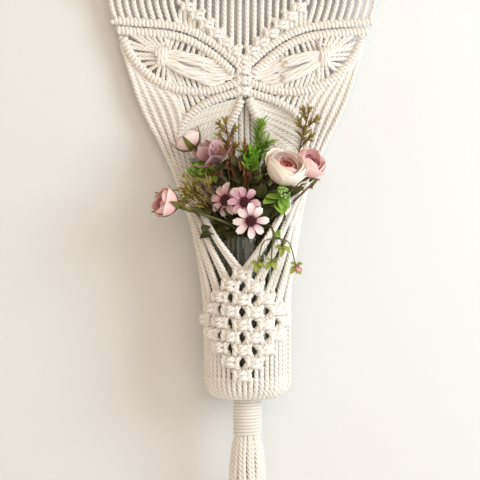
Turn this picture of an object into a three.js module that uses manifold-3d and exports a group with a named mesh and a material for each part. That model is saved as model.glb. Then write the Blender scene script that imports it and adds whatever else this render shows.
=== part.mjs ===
// Knotted wall-hanging planter: a cord panel on a dowel, ending in a pocket that carries a jar of flowers.
// Millimetres, +X to the right, +Y towards the wall, +Z up. The origin is the middle of the dowel's axis.
import * as THREE from "three";
import { mergeVertices } from "three/addons/utils/BufferGeometryUtils.js";
import Module from "manifold-3d";

const wasm = await Module();
wasm.setup();

// Fits
const CLEARANCE = 0.3; // between pieces that touch on the real object
const JAR_GAP = 0.8; // between the jar and the cords round it

// Cords and knots
const CORD_DIAMETER = 5;
const CORD_SIDES = 5;
const BAR_DIAMETER = 8.6; // a half-hitch bar over its holding cord
const BAR_SIDES = 6;
const BAR_STEPS = 7;
const KNOT_HEIGHT = 10.6;
const KNOT_DEPTH = 8;

// Dowel and mounting loops
const ROD_DIAMETER = 16;
const ROD_LENGTH = 290;
const LOOP_COUNT = 18; // each loop gives two cords
const LOOP_PITCH = 13.8;
const SIDE_LOOPS = 4; // loops that hold each outer group of cords
const LOOP_SIDES = 10;

// Panel: Bezier control points [x, z] of the right-hand half, mirrored for the left
const UPPER_BAR = [[119, -38.5], [75, -36], [38, -50], [2, -82]];
const LOWER_BAR = [[110, -53], [97, -94], [50, -118], [2, -92]];
const LEAF_BAR = [[2, -103], [30, -114], [53, -116], [54, -148]];
const LEAF_EDGE = [[6, -113], [13, -140], [32, -163], [50, -160]];
const CHEVRON_TIP_Z = -74;
const CHEVRON_RISE = 0.95; // climb of each arm per millimetre outwards
const CHEVRON_STEP = 8.5; // from knot to knot along X
const CHEVRON_KNOTS = 6; // on each arm, besides the one at the tip
const CHEVRON_KNOT_WIDTH = 14;
const CENTRE_KNOT_WIDTH = 13;
const CENTRE_KNOT_PITCH = 9.6;
const CENTRE_TOP_Z = -83;

// Loose bunch in each upper wing
const TIE_X = 72;
const TIE_Z = -71;
const TIE_WIDTH = 10;
const TIE_WALL = 3.6;
const NECK_DIAMETER = 9;
const LUMP_LENGTH = 36;
const LUMP_WIDTH = 12;
const LUMP_DEPTH = 10;

// Jar and pocket
const JAR_DIAMETER = 68;
const JAR_HEIGHT = 134;
const JAR_WALL = 3;
const JAR_FLOOR = 6;
const JAR_ROUND = 3; // at the foot
const JAR_BASE_Z = -366;
const JAR_SEGMENTS = 20;
const BACK_GAP = 1.5; // from the jar's back to the front of the bars
const NET_ROWS = 9;
const NET_PITCH = 11.3;
const NET_TOP = 102.5; // of the first row, above the jar's base
const FLOOR_THICKNESS = 5;
const FLOOR_RIM = 6; // how far the pocket's floor turns up round the jar
const SIDE_CORDS = 10; // on each side of the pocket's front
const BACK_CORDS = 8; // on each side of the pocket's back
const PANEL_EDGE = [[93, -104], [87, -120], [77, -156]]; // [x, z], mirrored for the left
const EDGE_END_X = 62; // where the edge's cords part and fan out onto the pocket,
const EDGE_END_LIFT = 43; // above the jar's mouth
const FAN_TURN = 0.45; // radians round the jar, from where a side cord leans on it to its knot
const FAN_RISE = 34; // of that place, above the knot
const FAN_BULGE = 11; // of that place on the front cord, outside the ring of cords; less towards the back
const FAN_STEPS = 5;
const BUNDLE_SPACING = 3.4; // cords pressed together at the panel's edge
const BUNDLE_LAYERS = 2;

// Gathering wrap and tassel
const WRAP_CORD = 2.5;
const WRAP_TURNS = 12;
const WRAP_PITCH = 2.95;
const WRAP_STEPS = 12;
const WRAP_SIDES = 4;
const WRAP_DIAMETER = 25.8; // over the turns
const SKIRT_LENGTH = 98;
const SKIRT_DIAMETER = 37;
const SKIRT_FLUTES = 18;
const FLUTE_DEPTH = 1.6;

// Bouquet
const STEM_DIAMETER = 7;
const BRANCH_DIAMETER = 3;
const DAISY_DIAMETER = 32;
const DAISY_PETALS = 9;
const PETAL_THICKNESS = 1.6;
const EYE_DIAMETER = 11;
const FORK_DROP = 8; // of the fork, below the jar's mouth
const LEAF_WIDTH = 16;
const BRANCH_STEPS = 3;
const BRANCHES = { // two points of each branch past the fork, from the middle of the jar's mouth
  rose_open: [[14, -8, 26], [31.5, -8, 55]],
  rose_right: [[22, 6, 28], [55, 8, 56]],
  rose_left: [[-18, -38, 10], [-64, -28, 26]],
  rose_upper: [[-22, 4, 40], [-46, 8, 75]],
  daisy_left: [[-9, -14, 16], [-22, -23, 32]],
  daisy_mid: [[-3, -18, 18], [-3, -39, 30]],
  daisy_low: [[0, -24, 8], [0, -48, 10]],
  sprig_bright: [[5, 4, 40], [8, 8, 61]],
  twig_middle: [[-12, 6, 42], [-14, 8, 60]],
  twig_right: [[36, 12, 44], [50, 12, 73]],
  bloom_mauve: [[-16, 0, 38], [-28, 0, 62]],
  leaves_olive: [[-16, -8, 20], [-42, -10, 34]],
  florets_green: [[12, -16, 18], [26.5, -26, 34]],
  sprig_low: [[16, -42, 10], [20, -50, -1]],
};
const STEM_LEAVES = [ // branch, step along it, reach of the blade
  ["daisy_low", 2, [-14, -10, 2]],
  ["florets_green", 2, [3, -12, -9]],
  ["rose_left", 1, [-6, 2, 22]],
  ["twig_middle", 2, [-4, -8, 22]],
  ["daisy_left", 1, [-20, -22, -2]],
  ["rose_open", 1, [12, -26, -6]],
];

const ROSES = { // diameter and height of each bloom
  rose_open: [38, 20],
  rose_right: [24, 20],
  rose_left: [25, 21],
  rose_upper: [25, 17],
};
const CALYX_HEIGHT = 4.4;
const CALYX_EDGE = 1; // thickness of its rim
const CALYX_FOOT = 4.4; // diameter where it meets the stem
const CALYX_CUP = 14; // widest diameter under a bloom
const SPRIGS = { // length of the twig, and length and width of its blades
  sprig_bright: [40, 15, 3.5],
  twig_middle: [42, 12, 4.5],
  twig_right: [34, 12, 4.5],
  bloom_mauve: [14, 20, 11],
  leaves_olive: [12, 13, 6],
  florets_green: [6, 9, 6],
  sprig_low: [16, 12, 5],
};

// Derived places
const cordRadius = CORD_DIAMETER / 2;
const jarRadius = JAR_DIAMETER / 2;
const boreRadius = (ROD_DIAMETER / 2 + CLEARANCE) / Math.cos(Math.PI / LOOP_SIDES);
const topWidth = LOOP_COUNT * LOOP_PITCH;
const jarY = -(jarRadius + BAR_DIAMETER / 2 + BACK_GAP);
const cordRing = jarRadius + JAR_GAP + cordRadius;
const knotRing = jarRadius + JAR_GAP + KNOT_DEPTH / 2;
const cordAngle = CORD_DIAMETER / cordRing;
const mouthZ = JAR_BASE_Z + JAR_HEIGHT;
const floorTop = JAR_BASE_Z - CLEARANCE;
const rimTop = floorTop + FLOOR_RIM;
const turnRadius = WRAP_DIAMETER / 2 - WRAP_CORD / 2;
const coreRadius = turnRadius * Math.cos(Math.PI / WRAP_STEPS) - WRAP_CORD / 2 - CLEARANCE;
const pivotZ = floorTop - CLEARANCE - coreRadius;
const wrapTop = pivotZ - WRAP_CORD / 2;
const wrapLength = WRAP_TURNS * WRAP_PITCH;
const skirtTop = wrapTop - wrapLength - WRAP_CORD;

const FINISH = {
  cotton: new THREE.MeshStandardMaterial({ name: "cotton_cord", color: 0xeee5d5, roughness: 0.95 }),
  wood: new THREE.MeshStandardMaterial({ name: "dowel_wood", color: 0xc79a66, roughness: 0.7 }),
  glass: new THREE.MeshStandardMaterial({
    name: "clear_glass", color: 0xdfe9e6, roughness: 0.05, transparent: true, opacity: 0.35,
  }),
  stem: new THREE.MeshStandardMaterial({ name: "stem_green", color: 0x5d6b34, roughness: 0.7 }),
  peach: new THREE.MeshStandardMaterial({ name: "petal_peach", color: 0xf0c9b0, roughness: 0.7 }),
  pink: new THREE.MeshStandardMaterial({ name: "petal_pink", color: 0xe79aa0, roughness: 0.7 }),
  mauve: new THREE.MeshStandardMaterial({ name: "petal_mauve", color: 0xb9818a, roughness: 0.7 }),
  white: new THREE.MeshStandardMaterial({ name: "petal_white", color: 0xf2dfe6, roughness: 0.6 }),
  eye: new THREE.MeshStandardMaterial({ name: "daisy_eye", color: 0x4a1222, roughness: 0.9 }),
  bright: new THREE.MeshStandardMaterial({ name: "leaf_bright", color: 0x6cab35, roughness: 0.6 }),
  bronze: new THREE.MeshStandardMaterial({ name: "leaf_bronze", color: 0x8a7440, roughness: 0.7 }),
};

function at(x, y, z) {
  return new THREE.Vector3(x, y, z);
}

// A geometry as a closed solid, ready to be joined or cut.
function solidOf(geometry) {
  const bare = geometry.index ? geometry.toNonIndexed() : geometry.clone();
  bare.deleteAttribute("normal");
  bare.deleteAttribute("uv");
  const merged = mergeVertices(bare, 1e-4);
  return new wasm.Manifold(new wasm.Mesh({
    numProp: 3,
    vertProperties: merged.attributes.position.array,
    triVerts: new Uint32Array(merged.index.array),
  }));
}

function join(solids) {
  return wasm.Manifold.union(solids);
}

function cut(solid, tools) {
  return solid.subtract(join(tools));
}

function meshOf(name, solid, material) {
  const { vertProperties, triVerts } = solid.getMesh();
  const geometry = new THREE.BufferGeometry();
  geometry.setAttribute("position", new THREE.BufferAttribute(vertProperties, 3));
  geometry.setIndex(new THREE.BufferAttribute(triVerts, 1));
  geometry.computeVertexNormals();
  const mesh = new THREE.Mesh(geometry, material);
  mesh.name = name;
  return mesh;
}

function roundSection(diameter, sides) {
  const shape = new THREE.Shape();
  for (let i = 0; i < sides; i += 1) {
    const angle = (2 * Math.PI * i) / sides;
    const x = (diameter / 2) * Math.cos(angle);
    const y = (diameter / 2) * Math.sin(angle);
    if (i === 0) shape.moveTo(x, y);
    else shape.lineTo(x, y);
  }
  shape.closePath();
  return shape;
}

function through(points) {
  return new THREE.CatmullRomCurve3(points, false, "centripetal");
}

function sweep(curve, diameter, steps, sides) {
  const section = roundSection(diameter, sides);
  return solidOf(new THREE.ExtrudeGeometry(section, { steps, bevelEnabled: false, extrudePath: curve }));
}

function cord(points, steps = 1, diameter = CORD_DIAMETER) {
  return sweep(through(points), diameter, steps, CORD_SIDES);
}

// A turned solid about Z from [radius, z] points that run up the outside.
function turned(profile, segments) {
  const points = profile.map(([radius, z]) => new THREE.Vector2(radius, z));
  return new THREE.LatheGeometry(points, segments).rotateX(Math.PI / 2);
}

// A six-sided knot; `along` is its width direction and `out` points away from the jar or wall.
function knot(centre, along, out, width, height = KNOT_HEIGHT, depth = KNOT_DEPTH) {
  const up = new THREE.Vector3().crossVectors(out, along);
  const basis = new THREE.Matrix4().makeBasis(along, up, out).setPosition(centre);
  const stud = new THREE.CylinderGeometry(0.36, 0.5, 1, 6).rotateX(Math.PI / 2).rotateZ(Math.PI / 6);
  stud.scale(width, height / Math.cos(Math.PI / 6), depth);
  return solidOf(stud.applyMatrix4(basis));
}

function panelKnot(x, z, width, grow = 0) {
  return knot(at(x, 0, z), at(1, 0, 0), at(0, -1, 0), width + grow, KNOT_HEIGHT + grow, KNOT_DEPTH + grow);
}

function barCurve(control, side) {
  const points = control.map(([x, z]) => at(side * x, 0, z));
  return new THREE.CubicBezierCurve3(...points);
}

// The bar that lies against another one's underside.
function curveBelow(curve, distance, from, to) {
  const points = [];
  for (let i = 0; i <= 6; i += 1) {
    const t = from + ((to - from) * i) / 6;
    const tangent = curve.getTangent(t);
    const down = at(-tangent.z, 0, tangent.x);
    if (down.z > 0) down.negate();
    points.push(curve.getPoint(t).addScaledVector(down, distance));
  }
  return through(points);
}

function bar(curve) {
  return sweep(curve, BAR_DIAMETER, BAR_STEPS, BAR_SIDES);
}

function barRoom(curve) {
  return sweep(curve, BAR_DIAMETER + 2 * CLEARANCE, BAR_STEPS, BAR_SIDES);
}

// A place on the pocket: angle from the front towards `side`, radius from the jar's axis.
function onPocket(side, angle, radius, z) {
  return at(side * radius * Math.sin(angle), jarY - radius * Math.cos(angle), z);
}

// The same curve, kept outside the cylinder that the jar slides up in.
function clearOfJar(points, samples) {
  return through(points).getPoints(samples).map((p) => {
    const radius = Math.hypot(p.x, p.y - jarY);
    const push = Math.max(1, cordRing / radius);
    return at(p.x * push, jarY + (p.y - jarY) * push, p.z);
  });
}

const sides = [["left", -1], ["right", 1]];
const bars = Object.fromEntries(sides.map(([name, side]) => {
  const upper = barCurve(UPPER_BAR, side);
  const second = curveBelow(upper, BAR_DIAMETER + CLEARANCE, 0.06, 1);
  const lower = barCurve(LOWER_BAR, side);
  const leaf = barCurve(LEAF_BAR, side);
  const edge = barCurve(LEAF_EDGE, side);
  return [name, { upper, second, lower, leaf, edge }];
}));

// Dowel
const rod = new THREE.CylinderGeometry(ROD_DIAMETER / 2, ROD_DIAMETER / 2, ROD_LENGTH, 24);
const rodMesh = new THREE.Mesh(rod, FINISH.wood);
rodMesh.name = "hanging_rod";
rodMesh.rotation.z = Math.PI / 2;

// Knots down the middle
const centreKnots = (grow) => join([0, 1, 2].map((i) => {
  return panelKnot(0, CENTRE_TOP_Z - i * CENTRE_KNOT_PITCH, CENTRE_KNOT_WIDTH, grow);
}));
const centreRoom = centreKnots(2 * CLEARANCE);

// Chevron: two arms of knots, each with a cord down to the bar below
function chevronPlaces() {
  const places = [];
  for (let i = -CHEVRON_KNOTS; i <= CHEVRON_KNOTS; i += 1) {
    const x = i * CHEVRON_STEP;
    places.push([x, CHEVRON_TIP_Z + CHEVRON_RISE * Math.abs(x)]);
  }
  return places;
}

const chevronTails = chevronPlaces().map(([x, z]) => {
  const reach = bars[x < 0 ? "left" : "right"].upper.getPoints(60);
  const landing = reach.reduce((best, p) => (Math.abs(p.x - x) < Math.abs(best.x - x) ? p : best));
  return cord([at(x, 0, z), at(x, 0, landing.z)]);
});
const upperRooms = [barRoom(bars.left.upper), barRoom(bars.right.upper)];
const secondRooms = [barRoom(bars.left.second), barRoom(bars.right.second)];
const chevronKnots = chevronPlaces().map(([x, z]) => panelKnot(x, z, CHEVRON_KNOT_WIDTH));
const chevronSolid = cut(join([...chevronKnots, ...chevronTails]), [...upperRooms, ...secondRooms, centreRoom]);

// Top cords on their mounting loops
function loopSleeve(from, to) {
  const profile = [[boreRadius, from]];
  for (let x = from; x < to - LOOP_PITCH / 2; x += LOOP_PITCH) {
    profile.push([boreRadius + CORD_DIAMETER / 2, x], [boreRadius + CORD_DIAMETER, x + LOOP_PITCH / 2]);
  }
  profile.push([boreRadius + CORD_DIAMETER / 2, to], [boreRadius, to], [boreRadius, from]);
  return solidOf(turned(profile, LOOP_SIDES).rotateY(Math.PI / 2));
}

function topCord(index) {
  const side = index < LOOP_COUNT ? -1 : 1;
  const fromEdge = side < 0 ? index : 2 * LOOP_COUNT - 1 - index;
  const x = topWidth / 2 - (fromEdge + 0.5) * (LOOP_PITCH / 2);
  const start = at(side * x, 0, -(boreRadius + cordRadius));
  const armEnd = CHEVRON_KNOTS * CHEVRON_STEP;
  if (x < armEnd + CHEVRON_KNOT_WIDTH / 2 + cordRadius) {
    const reached = Math.min(x, armEnd);
    const lift = KNOT_HEIGHT / 2 + CLEARANCE + CHEVRON_RISE * (CHEVRON_KNOT_WIDTH / 4 + cordRadius);
    return cord([start, at(side * reached, 0, CHEVRON_TIP_Z + CHEVRON_RISE * reached + lift)]);
  }
  const upper = bars[side < 0 ? "left" : "right"].upper;
  return cord([start, upper.getPointAt((fromEdge + 0.5) / LOOP_COUNT)]);
}

function topCords(from, to) {
  const half = topWidth / 2;
  const gap = CLEARANCE / 2;
  const cords = [];
  for (let i = 2 * from; i < 2 * to; i += 1) cords.push(topCord(i));
  const sleeve = loopSleeve(from * LOOP_PITCH - half + gap, to * LOOP_PITCH - half - gap);
  return cut(join([sleeve, ...cords]), upperRooms);
}

// Half-hitch bars of the upper wings
function upperWing(name) {
  const { upper, second, lower, leaf } = bars[name];
  const secondRoom = barRoom(second);
  const below = [];
  for (let i = 0; i < 5; i += 1) {
    below.push(cord([lower.getPoint(0.56 + 0.07 * i), leaf.getPoint(0.74 - 0.14 * i)]));
  }
  return [
    meshOf(`upper_bar_${name}`, cut(bar(upper), [centreRoom]), FINISH.cotton),
    meshOf(`second_bar_${name}`, cut(bar(second), [centreRoom, ...otherRooms(name, "second")]), FINISH.cotton),
    meshOf(`lower_bar_${name}`, cut(join([bar(lower), ...below]), [secondRoom, centreRoom, barRoom(leaf)]),
      FINISH.cotton),
  ];
}

function otherRooms(name, ...kinds) {
  const other = name === "left" ? "right" : "left";
  return kinds.map((kind) => barRoom(bars[other][kind]));
}

// Fan, loose bunch and fill cords inside an upper wing
const tieTilt = 0.12;
const neckFrame = (side) => new THREE.Matrix4().makeRotationY(Math.PI / 2 + side * tieTilt)
  .setPosition(side * TIE_X, -LUMP_DEPTH / 4, TIE_Z);

function wingCords(name, side) {
  const { second, lower } = bars[name];
  const lumpY = -LUMP_DEPTH / 4;
  const out = at(0, -1, 0);
  const start = at(side * (TIE_X + TIE_WIDTH), lumpY, TIE_Z + 1);
  const inner = TIE_X - TIE_WIDTH / 2;
  const solids = [cord([start, at(side * (inner - 8), lumpY, TIE_Z - 3)], 1, NECK_DIAMETER)];
  for (const [drop, slope] of [[2, 0.3], [11, 0.5]]) {
    const along = at(Math.cos(slope), 0, side * Math.sin(slope));
    const centre = at(side * (inner - LUMP_LENGTH / 2 + 1), lumpY, TIE_Z - drop);
    solids.push(knot(centre, along, out, LUMP_LENGTH, LUMP_WIDTH, LUMP_DEPTH));
  }
  for (const t of [0.05, 0.18, 0.31]) solids.push(cord([start, second.getPoint(t)]));
  for (const t of [0.12, 0.26]) solids.push(cord([start, lower.getPoint(t)]));
  for (let i = 0; i < 3; i += 1) {
    const x = side * (inner - 6 - 10 * i);
    solids.push(cord([second.getPoint(0.45 + 0.12 * i), at(x, 0, TIE_Z - 3 - i)]));
    solids.push(cord([lower.getPoint(0.47 + 0.12 * i), at(x, 0, TIE_Z - 9 - 2 * i)]));
  }
  const tail = at(side * (inner - LUMP_LENGTH + 8), lumpY, TIE_Z - 8);
  solids.push(cord([tail, second.getPoint(0.95)]), cord([tail, lower.getPoint(0.95)]));
  return cut(join(solids), [barRoom(second), barRoom(lower), centreRoom, tieRing(side, CLEARANCE)]);
}

function tieRing(side, grow) {
  const bore = (NECK_DIAMETER / 2 + CLEARANCE - grow) / Math.cos(Math.PI / 12);
  const outer = NECK_DIAMETER / 2 + CLEARANCE + TIE_WALL + grow;
  const half = TIE_WIDTH / 2 + grow;
  const profile = [[bore, -half], [outer - 1.2, -half], [outer, 1.8 - half], [outer, half - 1.8],
    [outer - 1.2, half], [bore, half], [bore, -half]];
  return solidOf(turned(profile, 12).applyMatrix4(neckFrame(side)));
}

// Lower wings: the outer bar with its fill cords, and the edge bar with the cords behind the jar
function leafBar(name) {
  const { lower, leaf, edge } = bars[name];
  const fill = [];
  for (let i = 0; i < 6; i += 1) {
    fill.push(cord([leaf.getPoint(0.12 + 0.13 * i), edge.getPoint(0.3 + 0.12 * i)]));
  }
  return cut(join([bar(leaf), ...fill]), [centreRoom, barRoom(lower), barRoom(edge)]);
}

function backCords(name, side) {
  const { leaf, edge } = bars[name];
  const firstAngle = (SIDE_CORDS + 2.2) * cordAngle;
  const spread = (Math.PI - firstAngle) / (BACK_CORDS - 0.5);
  const solids = [bar(edge)];
  for (let i = 0; i < BACK_CORDS; i += 1) {
    const start = edge.getPoint(0.7 - (0.55 * i) / BACK_CORDS);
    const angle = firstAngle + spread * i;
    const ring = onPocket(side, angle, cordRing, mouthZ - 8);
    const foot = onPocket(side, angle, cordRing, rimTop);
    solids.push(cord(clearOfJar([start, start.clone().lerp(ring, 0.5), ring, foot], 5), 4));
  }
  return cut(join(solids), [centreRoom, barRoom(leaf)]);
}

// Pocket floor, turned up round the jar's foot and open in the middle for the tassel's head
const floorHole = coreRadius + CLEARANCE + 0.2;
function pocketFloor() {
  const inside = jarRadius + JAR_GAP;
  const outside = inside + CORD_DIAMETER;
  const bottom = floorTop - FLOOR_THICKNESS;
  const profile = [[floorHole, bottom], [outside - 12, bottom], [outside, floorTop + 3],
    [outside, rimTop - CLEARANCE], [inside, rimTop - CLEARANCE], [inside, floorTop + JAR_ROUND],
    [inside - JAR_ROUND, floorTop], [floorHole, floorTop], [floorHole, bottom]];
  return solidOf(turned(profile, JAR_SEGMENTS).translate(0, jarY, 0));
}

// Front net: rows of knots on the jar's curve, and the cords below it
const netRow = (row) => JAR_BASE_Z + NET_TOP - row * NET_PITCH;
const widest = (NET_ROWS - 1) / 2;
const rowCount = (row) => widest + 1 - Math.abs(row - widest);
const knotAngle = (row, i) => (i - (rowCount(row) - 1) / 2) * 4 * cordAngle;
const knotWidth = 4 * cordAngle * knotRing + 1; // neighbours in a row run into each other,
const knotRise = NET_PITCH + 1.4; // and so do the rows

function netKnots() {
  const solids = [];
  for (let row = 0; row < NET_ROWS; row += 1) {
    for (let i = 0; i < rowCount(row); i += 1) {
      const angle = knotAngle(row, i);
      const along = at(Math.cos(angle), Math.sin(angle), 0);
      const out = at(Math.sin(angle), -Math.cos(angle), 0);
      const centre = onPocket(1, angle, knotRing, netRow(row));
      solids.push(knot(centre, along, out, knotWidth, knotRise));
    }
  }
  return solids;
}

function pocketNet() {
  const tails = [];
  for (const [, side] of sides) {
    for (let i = 0; i < SIDE_CORDS; i += 1) {
      const angle = (i + 0.5) * cordAngle;
      const row = NET_ROWS - 1 - Math.floor(i / 2);
      tails.push(cord([onPocket(side, angle, cordRing, netRow(row)), onPocket(side, angle, cordRing, rimTop)]));
    }
  }
  return join([...netKnots(), ...tails]);
}

// Side cords: a pressed bundle along the panel's edge that fans out onto the net
function bundleSection(columns) {
  const crest = (BUNDLE_LAYERS * BUNDLE_SPACING) / 2;
  const valley = crest - cordRadius / 2;
  const rim = ((columns - 1) * BUNDLE_SPACING) / 2;
  const front = [];
  for (let i = 0; i < columns; i += 1) {
    const y = i * BUNDLE_SPACING - rim;
    if (i > 0) front.push([valley, y - BUNDLE_SPACING / 2]);
    front.push([crest, y]);
  }
  const back = front.map(([x, y]) => [-x, y]).reverse();
  const outline = [...front, [0, rim + cordRadius], ...back, [0, -rim - cordRadius]];
  return new THREE.Shape(outline.map(([x, y]) => new THREE.Vector2(x, y)));
}

function sideCords(name, side) {
  const { lower, leaf, edge } = bars[name];
  const columns = SIDE_CORDS / BUNDLE_LAYERS;
  const middle = ((columns - 1) * BUNDLE_SPACING) / 2 + cordRadius;
  const edgeLine = [...PANEL_EDGE, [EDGE_END_X, mouthZ + EDGE_END_LIFT]];
  const spine = edgeLine.map(([x, z]) => at(side * (x - middle), 0, z));
  const extrudePath = through(spine);
  const strap = new THREE.ExtrudeGeometry(bundleSection(columns), { steps: 3, bevelEnabled: false, extrudePath });
  const solids = [solidOf(strap)];
  const end = spine.at(-1);
  for (let i = 0; i < SIDE_CORDS; i += 1) {
    const layer = i < columns ? -0.5 : 0.5;
    const shift = (i % columns) * BUNDLE_SPACING + cordRadius - middle;
    const angle = (i + 0.5) * cordAngle + (3 * CLEARANCE) / cordRing;
    const z = netRow(Math.floor(i / 2));
    const back = i / SIDE_CORDS;
    const leanAngle = angle + FAN_TURN * (1 - 0.7 * back);
    const leanRadius = cordRing + FAN_BULGE * (1 - back);
    const leanZ = z + FAN_RISE * (1 + back);
    const path = clearOfJar([
      at(end.x + side * shift, layer * BUNDLE_SPACING, end.z + 4),
      onPocket(side, leanAngle, leanRadius, leanZ),
      onPocket(side, angle, cordRing, z + knotRise / 2 + 5 * CLEARANCE),
    ], FAN_STEPS);
    solids.push(cord(path, FAN_STEPS));
  }
  for (let i = 0; i < columns; i += 1) {
    const shift = i * BUNDLE_SPACING + cordRadius - middle;
    const top = at(spine[0].x + side * shift, 0, spine[0].z - 3);
    solids.push(cord([lower.getPoint(0.42 - 0.09 * i), top]));
  }
  return cut(join(solids), [barRoom(lower), barRoom(leaf), barRoom(edge)]);
}

// Gathering wrap: one unbroken helix on the core, with straight ends
function gatherWrap() {
  const points = [];
  const total = WRAP_TURNS * WRAP_STEPS;
  for (let i = 0; i <= total; i += 1) {
    const angle = (2 * Math.PI * i) / WRAP_STEPS;
    const z = wrapTop - (WRAP_PITCH * i) / WRAP_STEPS;
    points.push(at(turnRadius * Math.sin(angle), jarY + turnRadius * Math.cos(angle), z));
  }
  points.unshift(points[0].clone().add(at(-WRAP_CORD, 0, 0.1)));
  points.push(points[total + 1].clone().add(at(WRAP_CORD, 0, -0.1)));
  let least = Infinity;
  points.forEach((p, i) => points.forEach((q, j) => {
    if (j - i > WRAP_STEPS / 2) least = Math.min(least, p.distanceTo(q) - WRAP_CORD);
  }));
  console.log(`gather_wrap: least gap between turns ${least.toFixed(2)} mm`);
  return sweep(new THREE.CatmullRomCurve3(points), WRAP_CORD, total + 2, WRAP_SIDES);
}

// Tassel: a domed core that turns in the pocket's floor, and a fluted skirt of cord ends
function tassel() {
  const dome = [];
  for (let i = 0; i <= 4; i += 1) {
    const lift = (Math.PI / 2) * (1 - i / 4);
    dome.push([coreRadius * Math.cos(lift), pivotZ + coreRadius * Math.sin(lift)]);
  }
  const core = turned([[0, skirtTop - 6], [coreRadius, skirtTop - 6], ...dome.reverse()], JAR_SEGMENTS);
  const flutes = 2 * SKIRT_FLUTES;
  const neck = WRAP_DIAMETER / 2;
  const flare = [[coreRadius, 0], [neck, 0.04], [neck + 1.5, 0.25], [neck + 3.4, 0.5], [SKIRT_DIAMETER / 2, 0.8],
    [SKIRT_DIAMETER / 2 - 0.6, 1]];
  const profile = flare.map(([radius, drop]) => [radius, skirtTop - CLEARANCE - drop * SKIRT_LENGTH]);
  const skirt = turned([[0, profile.at(-1)[1]], ...profile.reverse(), [0, skirtTop - CLEARANCE]], flutes);
  const spots = skirt.attributes.position;
  for (let i = 0; i < spots.count; i += 1) {
    const radius = Math.hypot(spots.getX(i), spots.getY(i));
    if (radius < coreRadius + 0.1) continue;
    const turn = Math.round((Math.atan2(spots.getY(i), spots.getX(i)) * flutes) / (2 * Math.PI));
    const scale = turn % 2 === 0 ? 1 : (radius - FLUTE_DEPTH) / radius;
    spots.setXY(i, spots.getX(i) * scale, spots.getY(i) * scale);
  }
  return join([solidOf(core), solidOf(skirt)]).translate([0, jarY, 0]);
}

// Jar
const jarProfile = [[0, 0], [jarRadius - JAR_ROUND, 0], [jarRadius, JAR_ROUND], [jarRadius, JAR_HEIGHT - 1],
  [jarRadius - JAR_WALL / 2, JAR_HEIGHT], [jarRadius - JAR_WALL, JAR_HEIGHT - 1],
  [jarRadius - JAR_WALL, JAR_FLOOR + JAR_ROUND], [jarRadius - JAR_WALL - JAR_ROUND, JAR_FLOOR], [0, JAR_FLOOR]];
const jarMesh = new THREE.Mesh(turned(jarProfile, JAR_SEGMENTS), FINISH.glass);
jarMesh.name = "glass_jar";
const jarGroup = new THREE.Group();
jarGroup.name = "jar";
jarGroup.position.set(0, jarY, JAR_BASE_Z);
jarGroup.add(jarMesh);

// Bouquet, in a group whose origin is the middle of the jar's mouth
const fork = at(0, 0, -FORK_DROP);

function branchCurve(name) {
  return through([fork, ...BRANCHES[name].map((spot) => at(...spot))]);
}

function stems() {
  const foot = at(0, 0, JAR_FLOOR - JAR_HEIGHT + CLEARANCE);
  const solids = [cord([foot, fork.clone().add(at(0, 0, STEM_DIAMETER / 2))], 1, STEM_DIAMETER)];
  for (const name of Object.keys(BRANCHES)) {
    solids.push(sweep(branchCurve(name), BRANCH_DIAMETER, BRANCH_STEPS, 4));
  }
  for (const [name, step, reach] of STEM_LEAVES) {
    const base = branchCurve(name).getPointAt(step / BRANCH_STEPS);
    solids.push(blade(base, base.clone().add(at(...reach)), LEAF_WIDTH, LEAF_WIDTH * 0.25));
  }
  return join(solids);
}

// How far above a branch's tip a piece sits, so that a tilted one clears the tip's edge.
function seatOn(name, facing) {
  const tilt = facing ? branchCurve(name).getTangent(1).angleTo(facing) : 0;
  return CLEARANCE + (BRANCH_DIAMETER / 2) * Math.sin(tilt);
}

// A group at a branch's tip with +Z along the branch, or along `facing`.
function tipGroup(name, facing) {
  const curve = branchCurve(name);
  const group = new THREE.Group();
  group.name = `${name}_head`;
  group.position.copy(curve.getPoint(1));
  const direction = facing ? facing.clone().normalize() : curve.getTangent(1);
  group.quaternion.setFromUnitVectors(at(0, 0, 1), direction);
  return group;
}

function lobed(geometry, lobes, depth) {
  const spots = geometry.attributes.position;
  for (let i = 0; i < spots.count; i += 1) {
    const angle = Math.atan2(spots.getY(i), spots.getX(i));
    const scale = 1 - depth * (1 - Math.cos(lobes * angle)) / 2;
    spots.setXY(i, spots.getX(i) * scale, spots.getY(i) * scale);
  }
  return geometry;
}

function rose(name, material, facing) {
  const [diameter, height] = ROSES[name];
  const group = tipGroup(name, facing);
  const cup = Math.min(CALYX_CUP / 2, diameter / 4);
  const seat = seatOn(name, facing);
  const top = seat + CALYX_HEIGHT;
  const calyx = turned([[0, seat], [CALYX_FOOT / 2, seat], [cup, top - CALYX_EDGE], [cup, top], [0, top]], 8);
  const base = top + CLEARANCE;
  const radius = diameter / 2;
  const bloom = turned([[0, base], [radius * 0.5, base + height * 0.05], [radius * 0.9, base + height * 0.35],
    [radius, base + height * 0.62], [radius * 0.82, base + height * 0.9], [radius * 0.6, base + height],
    [radius * 0.34, base + height * 0.84], [0, base + height * 0.8]], 10);
  const calyxMesh = meshOf(`${name}_calyx`, solidOf(calyx), FINISH.stem);
  group.add(calyxMesh, meshOf(name, solidOf(lobed(bloom, 5, 0.14)), material));
  return group;
}

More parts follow.
